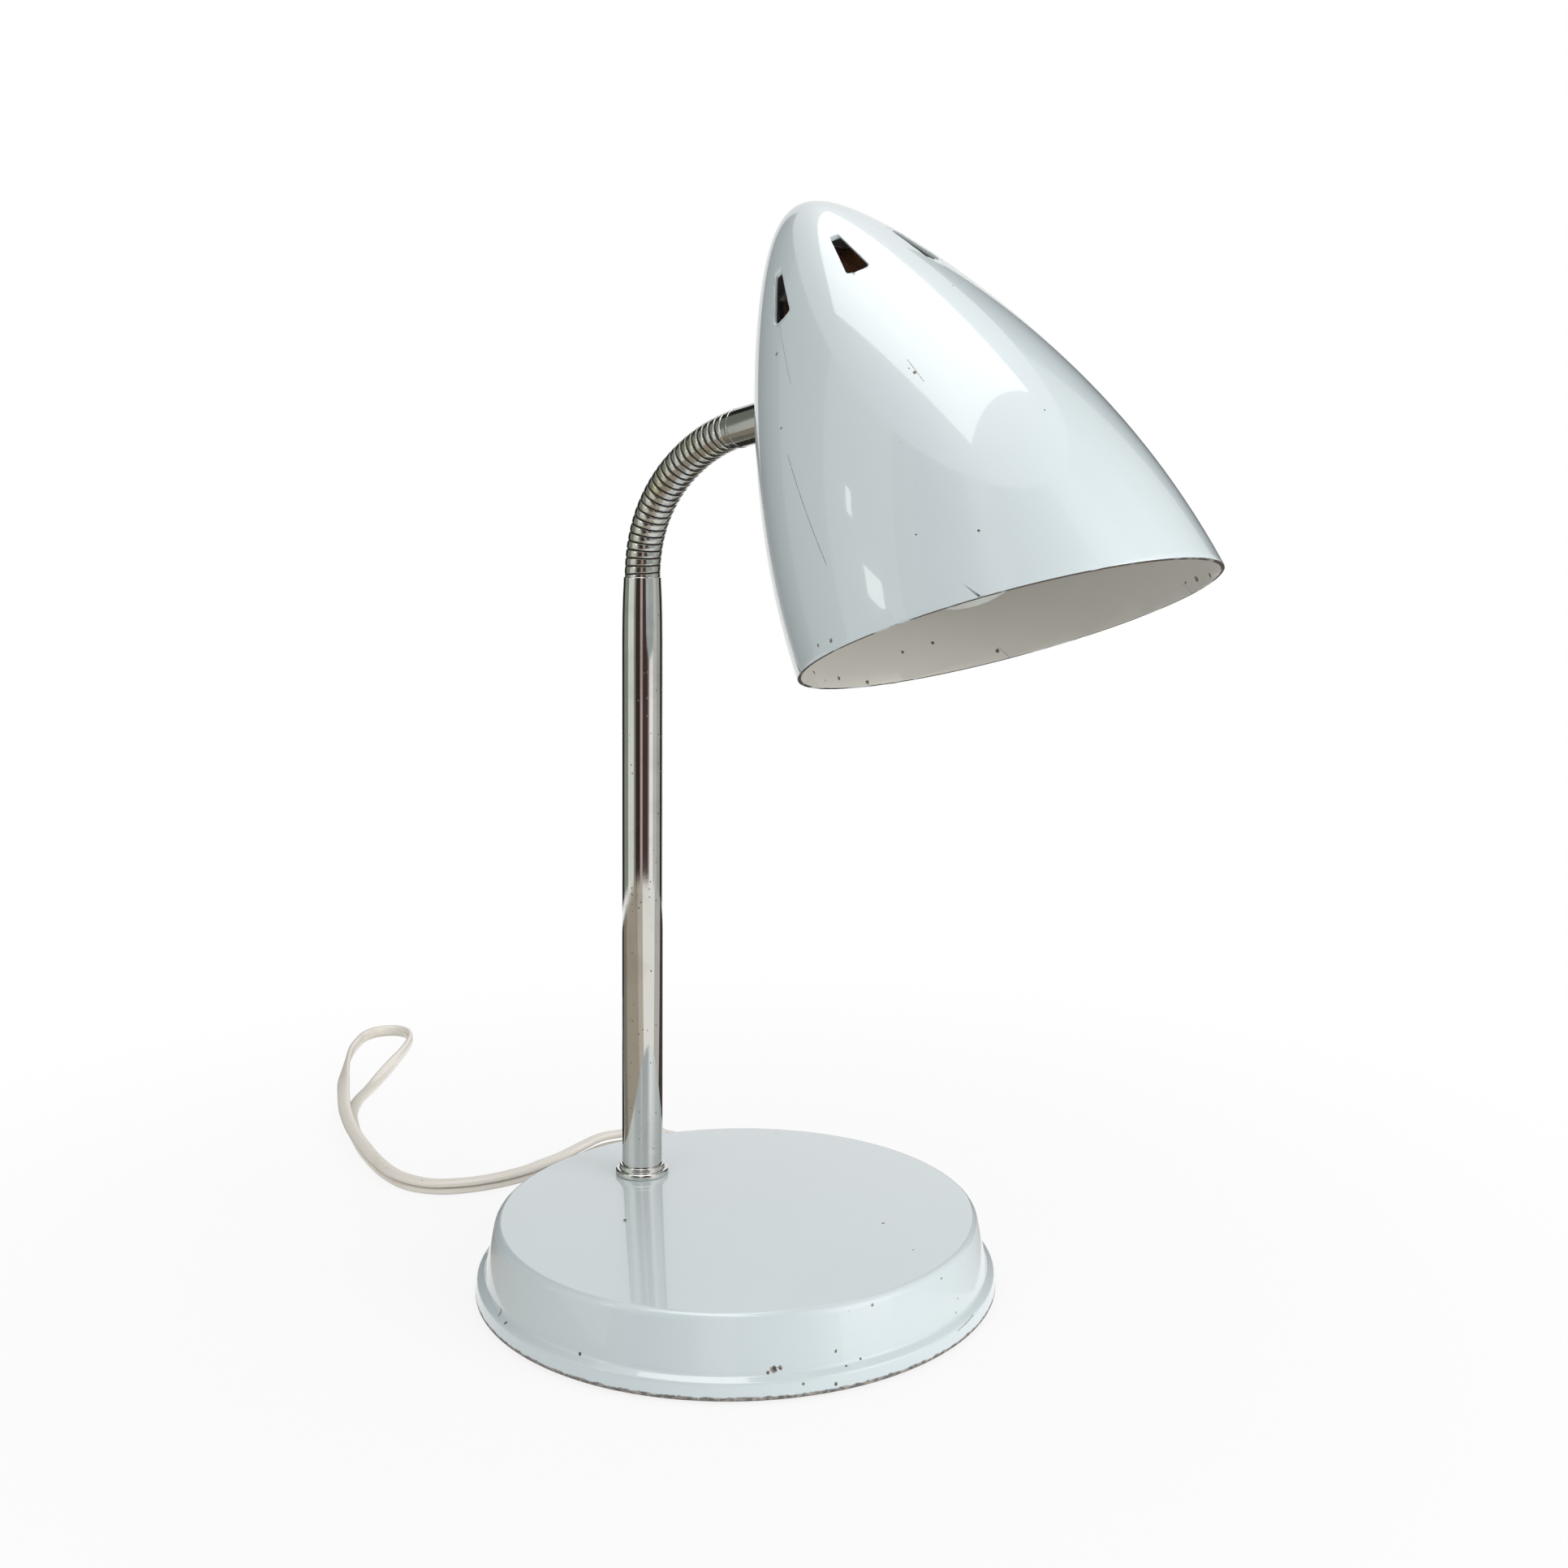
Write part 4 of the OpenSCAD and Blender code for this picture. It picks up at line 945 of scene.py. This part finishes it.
def make_stem():
    tube = plated("stem_plating", lamp_colour("chrome"), 0.0, 0.05, (1, 1, 0.05), STEM_STAINS)
    sides = bpy.context.scene.lamp_sizes.stem_sides
    stem = turned("stem_tube", rounded([
        (5.75, STEM_FOOT, 0), (STEM_R, STEM_FOOT, 0.3), (STEM_R, 208.3, 0), (6.93, 212, 0), (6.85, 218, 0),
        (6.7, 223.4, 0), (6.42, 229.2, 0.2), (6.46, STEM_TOP, 0.3), (5.2, STEM_TOP, 0.3), (5.2, 229, 0),
        (5.75, 208, 0)]), sides, closed=True)
    settle(stem, STEM_PLACE)
    piece(stem, "stand", [tube], ["stem"], 35)
    collar = turned("stem_flange", rounded([
        (7.0, STEM_FOOT, 0), (9.2, STEM_FOOT, 0.5), (9.2, 25.3, 0.95), (7.9, 25.4, 0.15), (7.85, 26.9, 0.5),
        (7.0, 27.0, 0)]), sides, closed=True)
    settle(collar, STEM_PLACE)
    piece(collar, "stand", [tube], ["stem_collar"], 35)


def bend(obj):
    """Bends a straight length of hose, which stands on Z, along the neck."""
    crown = obj.data.attributes.new("crown", "FLOAT", "POINT")
    depth = bpy.context.scene.lamp_sizes.groove / MM
    for vertex in obj.data.vertices:
        x, y, u = vertex.co / MM
        r = math.hypot(x, y)
        crown.data[vertex.index].value = 1 - (NECK_R - r) / depth
        flat = WORN_SHARE * max(0.0, 1 - u / WORN_LENGTH)
        x, y = (c * (r + (NECK_R - r) * flat) / r for c in (x, y))
        k = min(max(int(u // LINK), 0), LINKS - 1)
        t = u / LINK - k
        p0, p1 = link_mid(k), link_mid(k + 1)
        d0, d1 = toward(turn_at(k / LINKS)) * LINK, toward(turn_at((k + 1) / LINKS)) * LINK
        middle = ((2 * t ** 3 - 3 * t * t + 1) * p0 + (t ** 3 - 2 * t * t + t) * d0
                  + (3 * t * t - 2 * t ** 3) * p1 + (t ** 3 - t * t) * d1)
        turn = turn_at(u / LINK / LINKS)
        vertex.co = (middle + Vector((x, 0, 0)) + y * Vector((0, math.cos(turn), math.sin(turn)))) * MM


def wind_strip(pitch, depth, turns):
    """A straight hose on Z: one crowned strip wound into a tube, from a little below Z = 0."""
    steps = (0, 0.03, 0.07, 0.13, 0.21, 0.33, 0.5, 0.67, 0.79, 0.87, 0.93, 0.97, 1)
    rows = [(NECK_R - depth * abs(2 * t - 1) ** 5, t * pitch - pitch - 0.4) for t in steps]
    clear_selection()
    bpy.ops.mesh.primitive_plane_add(size=MM, location=(rows[0][0] * MM, 0, rows[0][1] * MM))
    hose = bpy.context.object
    open_mesh(hose)
    bpy.ops.mesh.merge(type="CENTER")
    for (r0, z0), (r1, z1) in zip(rows, rows[1:]):
        draw_out((r1 - r0) * MM, 0, (z1 - z0) * MM)
    close_mesh()
    settle(hose)
    modify(hose, "SCREW", axis="Z", angle=2 * math.pi, screw_offset=pitch * MM, iterations=turns,
           steps=48, render_steps=48, use_merge_vertices=True, merge_threshold=TOUCH)
    open_mesh(hose)
    close_mesh(merge=10 * TOUCH)
    return hose


def make_hose():
    sizes = bpy.context.scene.lamp_sizes
    strip = wound_strip("strip_plating", tone(lamp_colour("chrome"), STRIP_TONE))
    hose = wind_strip(LINKS * LINK / sizes.bands, sizes.groove / MM, sizes.bands + 2)
    for k in range(LINKS):
        length = hose.copy()
        length.data = hose.data.copy()
        bpy.context.scene.collection.objects.link(length)
        length.name = length.data.name = f"hose_{k + 1}"
        cut(length, (0, 0, k * LINK * MM), (0, 0, 1))
        cut(length, (0, 0, (k + 1) * LINK * MM), (0, 0, -1))
        bend(length)
        modify(length, "SOLIDIFY", thickness=STRIP_WALL * MM, offset=-1)
        piece(length, None, [strip], ["neck_socket" if k == 0 else f"neck_link_{k}"], 60)
        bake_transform(length)
    bpy.data.objects.remove(hose)
    ring = turned("ferrule_bead", rounded([
        (5.75, -0.3, 0), (6.4, -0.3, 0.45), (6.4, 1.2, 0.45), (5.75, 1.2, 0)]), BEAD_SIDES, closed=True)
    settle(ring, Matrix.Translation(link_mid(LINKS) * MM) @ Matrix.Rotation(turn_at(1), 4, "X"))
    finish = plated("ferrule_plating", tone(lamp_colour("chrome"), FERRULE_TONE), 0.06, 0.12)
    piece(ring, "head", [finish])
    dress(finish, "neck_ferrule")


# ------------------------------------------------------------------ cord and small parts

def flat_section(sides, squareness=0.75):
    """The cord's section: an ellipse with fuller corners."""
    points = ring_of_points(1, 2 * sides)[1::2]
    return [(FLEX_WIDE / 2 * math.copysign(abs(x) ** squareness, x),
             FLEX_THICK / 2 * math.copysign(abs(y) ** squareness, y)) for x, y in points]


def make_flex():
    sides = bpy.context.scene.lamp_sizes.flex_sides
    section = flat_section(sides)
    route = smooth_route(OUT_ROUTE + HOOK_ROUTE + BACK_ROUTE + hank_route(), FLEX_STEP)
    mesh = bmesh.new()
    rings = []
    for i, p in enumerate(route):
        ahead = (route[min(i + 1, len(route) - 1)].xyz - route[max(i - 1, 0)].xyz).normalized()
        side = ahead.cross(UP).normalized()
        up = side.cross(ahead)
        cos_roll, sin_roll = math.cos(math.radians(p.w)), math.sin(math.radians(p.w))
        rings.append([mesh.verts.new((p.xyz + side * (x * cos_roll - y * sin_roll)
                                      + up * (x * sin_roll + y * cos_roll)) * MM) for x, y in section])
    for r0, r1 in zip(rings, rings[1:]):
        for j in range(sides):
            mesh.faces.new((r0[j], r0[(j + 1) % sides], r1[(j + 1) % sides], r1[j]))
    mesh.faces.new(rings[0][::-1])
    mesh.faces.new(rings[-1])
    bmesh.ops.recalc_face_normals(mesh, faces=mesh.faces)
    data = bpy.data.meshes.new("flex")
    mesh.to_mesh(data)
    mesh.free()
    obj = bpy.data.objects.new("flex", data)
    bpy.context.scene.collection.objects.link(obj)
    vinyl = cord_vinyl("flex_vinyl", lamp_colour("flex"))
    piece(obj, "stand", [vinyl], ["cord_run", "cord_coil", "cord_tail"], 60)
    dress(vinyl, "cord_bushing", "plug_body", "cord_inner")
    dress(cord_vinyl("tie_plastic", (0.10, 0.10, 0.105), 0.42), "cord_tie")
    dress(plated("pin_plating", (0.72, 0.71, 0.68), 0.06, 0.02), "plug_pins")


def make_fittings():
    dress(pressed_bakelite("bakelite", lamp_colour("bakelite")), "holder_cap", "holder_skirt", "switch_bar")
    dress(turned_brass("brass"), "base_nipple", "stem_bush", "arm_nipple", "holder_nipple", "holder_shell",
          "centre_contact", "bulb_cap")
    dress(zinc_plate("zinc"), "bottom_plate", "bottom_screw", "cord_clamp", "clamp_screws", "base_washer",
          "base_nut", "arm_washer", "arm_nut", "holder_bracket", "holder_nut")
    dress(cast_iron("iron"), "base_weight")
    dress(wool_felt("felt"), "felt_pad")
    dress(glazed_ceramic("ceramic"), "holder_core")
    dress(opal_glass("opal_glass"), "bulb_glass")


# ------------------------------------------------------------------ stage

CAMERA_PLACE = (-0.38376, -0.38236, 0.23902)
CAMERA_BEARING, CAMERA_DOWN, CAMERA_ROLL = 47.895, 4.475, 0.504
CAMERA_LENS, CAMERA_SHIFT = 38.69, (-0.0244, -0.0633)

# What the bright metal mirrors: strips of room round the lamp, from one bearing to the next.
# Bearings run in degrees from the camera's side, and to the camera's left.
CAMERA_SIDE = 227.9
ROOM_R, ROOM_TOP, TABLE_R, TABLE_Z, ROOM_SIDES = 500, 880, 97, 3, 360
ROOM = [
    (-180, -150, (0.9, 0.9, 0.9)), (-150, -120, (0.03, 0.03, 0.03)), (-120, -92, (0.40, 0.40, 0.38)),
    (-92, -66, (0.55, 0.55, 0.53)), (-66, -44, (0.92, 0.91, 0.90)), (-44, -36, (0.30, 0.26, 0.25)),
    (-36, -6, (0.07, 0.04, 0.035)), (-6, 7, (0.46, 0.38, 0.37)), (7, 33, (0.035, 0.025, 0.02)),
    (33, 44, (0.25, 0.25, 0.22)), (44, 82, (0.72, 0.75, 0.69)), (82, 118, (0.24, 0.26, 0.22)),
    (118, 155, (0.02, 0.025, 0.02)), (155, 180, (0.9, 0.9, 0.9))]
TABLE = [
    (-180, -122, (0.06, 0.05, 0.04)), (-122, -78, (0.50, 0.49, 0.47)), (-78, -8, (0.86, 0.85, 0.82)),
    (-8, 20, (0.50, 0.46, 0.40)), (20, 92, (0.37, 0.33, 0.27)), (92, 124, (0.22, 0.21, 0.18)),
    (124, 180, (0.04, 0.04, 0.035))]
# Windows that the shade mirrors: where on it, as distance from its tip and angle, and their width and height.
WINDOWS = [(139.5, 82.5, 0.055, 0.045), (113.9, 80.5, 0.018, 0.04)]
WINDOW_AWAY = 0.4
CEILING_WIDE, CEILING_Z, CEILING_STRENGTH = 0.5, 0.87, 4
# The share of white in the floor near the lamp, and the stretch over which it grows to all white.
FLOOR_WIDE, WHITE_NEAR, WHITE_STRETCH = 8, 0.84, (0.12, 0.45)
# Where the lights stand, as a bearing and an angle above the floor, and the point that they face.
KEY_FROM, LEFT_FROM = (166, 15), (262, 22)
LIGHT_AIM = Vector((0, 0, 0.18))
LIGHT_AWAY, LIGHT_WIDE = 1.3, 0.9


def glow(name, colour, strength=1.0):
    """A surface that only gives off light of one colour."""
    material = bpy.data.materials.new(name)
    material.use_nodes = True
    nodes = Nodes(material.node_tree)
    nodes.tree.nodes.clear()
    light = nodes.node("ShaderNodeEmission", sockets={"Color": colour, "Strength": strength})
    nodes.node("ShaderNodeOutputMaterial", sockets={"Surface": light.outputs[0]})
    return material


def mirror_only(obj):
    """Puts a thing on the stage that only bright surfaces show."""
    obj.visible_camera = obj.visible_diffuse = obj.visible_shadow = obj.visible_transmission = False


def make_room():
    """Glossy-only strips: a round wall about the stem and a ring of table about the base."""
    wall = [(ROOM_R, TABLE_Z), (ROOM_R, ROOM_TOP)]
    top = [(TABLE_R, TABLE_Z), (ROOM_R, TABLE_Z)]
    for name, rows, place, strips in (("room", wall, STEM_PLACE, ROOM), ("table", top, Matrix(), TABLE)):
        obj = turned(name, rows, ROOM_SIDES)
        settle(obj, place)
        for i, (_, _, colour) in enumerate(strips):
            obj.data.materials.append(glow(f"{name}_{i}", colour))
        for face in obj.data.polygons:
            x, y, _ = face.center / MM
            bearing = (math.degrees(math.atan2(x, y - STEM_Y)) - CAMERA_SIDE + 180) % 360 - 180
            for i, (start, end, _) in enumerate(strips):
                if start <= bearing < end:
                    face.material_index = i
        mirror_only(obj)


def flat_pane(name, place, material):
    """A plane of unit size, put in its place."""
    clear_selection()
    bpy.ops.mesh.primitive_plane_add(size=1)
    pane = bpy.context.object
    pane.name = pane.data.name = name
    settle(pane, place)
    pane.data.materials.append(material)
    return pane


def make_windows():
    """Glossy-only panes: the windows, and a ceiling light that runs along the rounded edges."""
    eye = bpy.context.scene.camera.matrix_world.translation
    ceiling = Matrix.Translation((0, 0, CEILING_Z)) @ Matrix.Diagonal((CEILING_WIDE, CEILING_WIDE, 1, 1))
    mirror_only(flat_pane("ceiling_light", ceiling, glow("ceiling_light", (1, 1, 1), CEILING_STRENGTH)))
    brightness = bpy.context.scene.lamp_stage.window
    for i, (s, angle, width, height) in enumerate(WINDOWS):
        at = Vector(on_shade(s, angle)) * MM
        way = (at - eye).normalized().reflect(shade_normal(s, angle))
        place = Matrix.LocRotScale(at + way * WINDOW_AWAY, way.to_track_quat("Z", "Y"), (width, height, 1))
        mirror_only(flat_pane(f"window_{i}", place, glow(f"window_{i}", (1, 0.99, 0.96), brightness)))


def make_camera():
    data = bpy.data.cameras.new("camera")
    data.lens, data.sensor_width = CAMERA_LENS, 36
    data.shift_x, data.shift_y = CAMERA_SHIFT
    data.clip_start, data.clip_end = 0.01, 50
    eye = bpy.data.objects.new("camera", data)
    bpy.context.scene.collection.objects.link(eye)
    az, down, roll = (math.radians(a) for a in (CAMERA_BEARING, CAMERA_DOWN, CAMERA_ROLL))
    ahead = Vector((math.sin(az) * math.cos(down), math.cos(az) * math.cos(down), -math.sin(down)))
    right = Vector((math.cos(az), -math.sin(az), 0))
    top = right.cross(ahead)
    right, top = math.cos(roll) * right + math.sin(roll) * top, math.cos(roll) * top - math.sin(roll) * right
    eye.matrix_world = Matrix.Translation(CAMERA_PLACE) @ Matrix((right, top, -ahead)).transposed().to_4x4()
    bpy.context.scene.camera = eye


def soft_light(name, bearing, height, power):
    """A square light that faces the lamp, at a bearing from +Y towards +X and an angle above the floor."""
    light = bpy.data.lights.new(name, "AREA")
    light.shape, light.size, light.energy = "SQUARE", LIGHT_WIDE, power
    obj = bpy.data.objects.new(name, light)
    bpy.context.scene.collection.objects.link(obj)
    a, e = math.radians(bearing), math.radians(height)
    out = Vector((math.sin(a) * math.cos(e), math.cos(a) * math.cos(e), math.sin(e)))
    obj.location = LIGHT_AIM + out * LIGHT_AWAY
    obj.rotation_euler = out.to_track_quat("Z", "Y").to_euler()


def make_floor():
    """A matt floor that keeps the lamp's shadow near it and is seen as white farther out."""
    f = Finish("white_floor", {"Base Color": (0.82, 0.82, 0.82), "Roughness": 0.9, "Specular IOR Level": 0.0})
    x, y, _ = f.split(f.place())
    reach = (x * x + y * y).root()
    light = f.node("ShaderNodeEmission", sockets={"Color": (1, 1, 1), "Strength": 1.0}).outputs[0]
    white = f.ease(reach, *WHITE_STRETCH) * (1 - WHITE_NEAR) + WHITE_NEAR
    mixed = f.node("ShaderNodeMixShader", sockets={0: f.shown() * white, 1: f.shader.outputs[0], 2: light})
    output = next(n for n in f.tree.nodes if n.type == "OUTPUT_MATERIAL")
    f.join(output.inputs["Surface"], mixed.outputs[0])
    flat_pane("floor", Matrix.Diagonal((FLOOR_WIDE, FLOOR_WIDE, 1, 1)), f.material)


def make_sky(fill):
    """A white world that lights the lamp by the fill and is seen at a strength of 1."""
    world = bpy.data.worlds.new("studio")
    bpy.context.scene.world = world
    world.use_nodes = True
    sky = Nodes(world.node_tree)
    back = sky.tree.nodes["Background"]
    sky.join(back.inputs["Color"], (1, 1, 1))
    sky.join(back.inputs["Strength"], sky.shown() * (1 - fill) + fill)


def make_stage():
    stage = bpy.context.scene.lamp_stage
    make_camera()
    make_floor()
    make_room()
    make_windows()
    soft_light("key_light", *KEY_FROM, stage.key)
    soft_light("left_light", *LEFT_FROM, stage.key * stage.left)
    make_sky(stage.fill)
    bpy.context.scene.view_settings.view_transform = "Standard"


# ------------------------------------------------------------------ operators and panel

class LampBuilder:
    """What every operator here shares: it builds its pieces and then reports that it has finished."""
    bl_options = {"REGISTER", "UNDO"}

    def execute(self, context):
        self.build()
        return {"FINISHED"}


class LAMP_OT_shade(LampBuilder, bpy.types.Operator):
    """Spin the pointed shade, cut its mouth and vents and enamel it"""
    bl_idname = "lamp.shade"
    bl_label = "Shade"
    build = staticmethod(make_shade)


class LAMP_OT_base(LampBuilder, bpy.types.Operator):
    """Press the round base cover with its rolled rim"""
    bl_idname = "lamp.base"
    bl_label = "Base"
    build = staticmethod(make_base)


class LAMP_OT_stem(LampBuilder, bpy.types.Operator):
    """Turn the plated stem and the collar at its foot"""
    bl_idname = "lamp.stem"
    bl_label = "Stem"
    build = staticmethod(make_stem)


class LAMP_OT_hose(LampBuilder, bpy.types.Operator):
    """Wind the gooseneck, bend it and cut it into one length for each link"""
    bl_idname = "lamp.hose"
    bl_label = "Gooseneck"
    build = staticmethod(make_hose)


class LAMP_OT_flex(LampBuilder, bpy.types.Operator):
    """Lay the flat cord from the base to its plug"""
    bl_idname = "lamp.flex"
    bl_label = "Cord and plug"
    build = staticmethod(make_flex)


class LAMP_OT_fittings(LampBuilder, bpy.types.Operator):
    """Finish the lampholder, bulb, threaded tubes, nuts, weight and felt"""
    bl_idname = "lamp.fittings"
    bl_label = "Fittings"
    build = staticmethod(make_fittings)


class LAMP_OT_stage(LampBuilder, bpy.types.Operator):
    """Set the camera, the floor and the lights"""
    bl_idname = "lamp.stage"
    bl_label = "Stage"
    build = staticmethod(make_stage)


OPERATORS = (LAMP_OT_stage, LAMP_OT_flex, LAMP_OT_base, LAMP_OT_stem, LAMP_OT_hose, LAMP_OT_shade,
             LAMP_OT_fittings)
GROUPS = {"lamp_finish": LampFinish, "lamp_sizes": LampSizes, "lamp_stage": LampStage}


class LAMP_PT_panel(bpy.types.Panel):
    """Lists the lamp's sizes, colours and builders"""
    bl_idname = "LAMP_PT_panel"
    bl_label = "Gooseneck desk lamp"
    bl_space_type = "VIEW_3D"
    bl_region_type = "UI"
    bl_category = "Lamp"

    def draw(self, context):
        for group in GROUPS:
            box = self.layout.box()
            settings = getattr(context.scene, group)
            for name in settings.bl_rna.properties.keys():
                if name not in ("rna_type", "name"):
                    box.prop(settings, name)
        for operator in OPERATORS:
            self.layout.operator(operator.bl_idname)


CLASSES = (*GROUPS.values(), *OPERATORS, LAMP_PT_panel)


def register():
    for cls in CLASSES:
        bpy.utils.register_class(cls)
    for name, group in GROUPS.items():
        setattr(bpy.types.Scene, name, PointerProperty(type=group))


def unregister():
    for name in GROUPS:
        delattr(bpy.types.Scene, name)
    for cls in reversed(CLASSES):
        bpy.utils.unregister_class(cls)


def main():
    register()
    bpy.ops.lamp.stage()
    bpy.ops.lamp.flex()
    bpy.ops.lamp.base()
    bpy.ops.lamp.stem()
    bpy.ops.lamp.hose()
    bpy.ops.lamp.shade()
    bpy.ops.lamp.fittings()
    clear_selection()


if __name__ == "__main__":
    main()
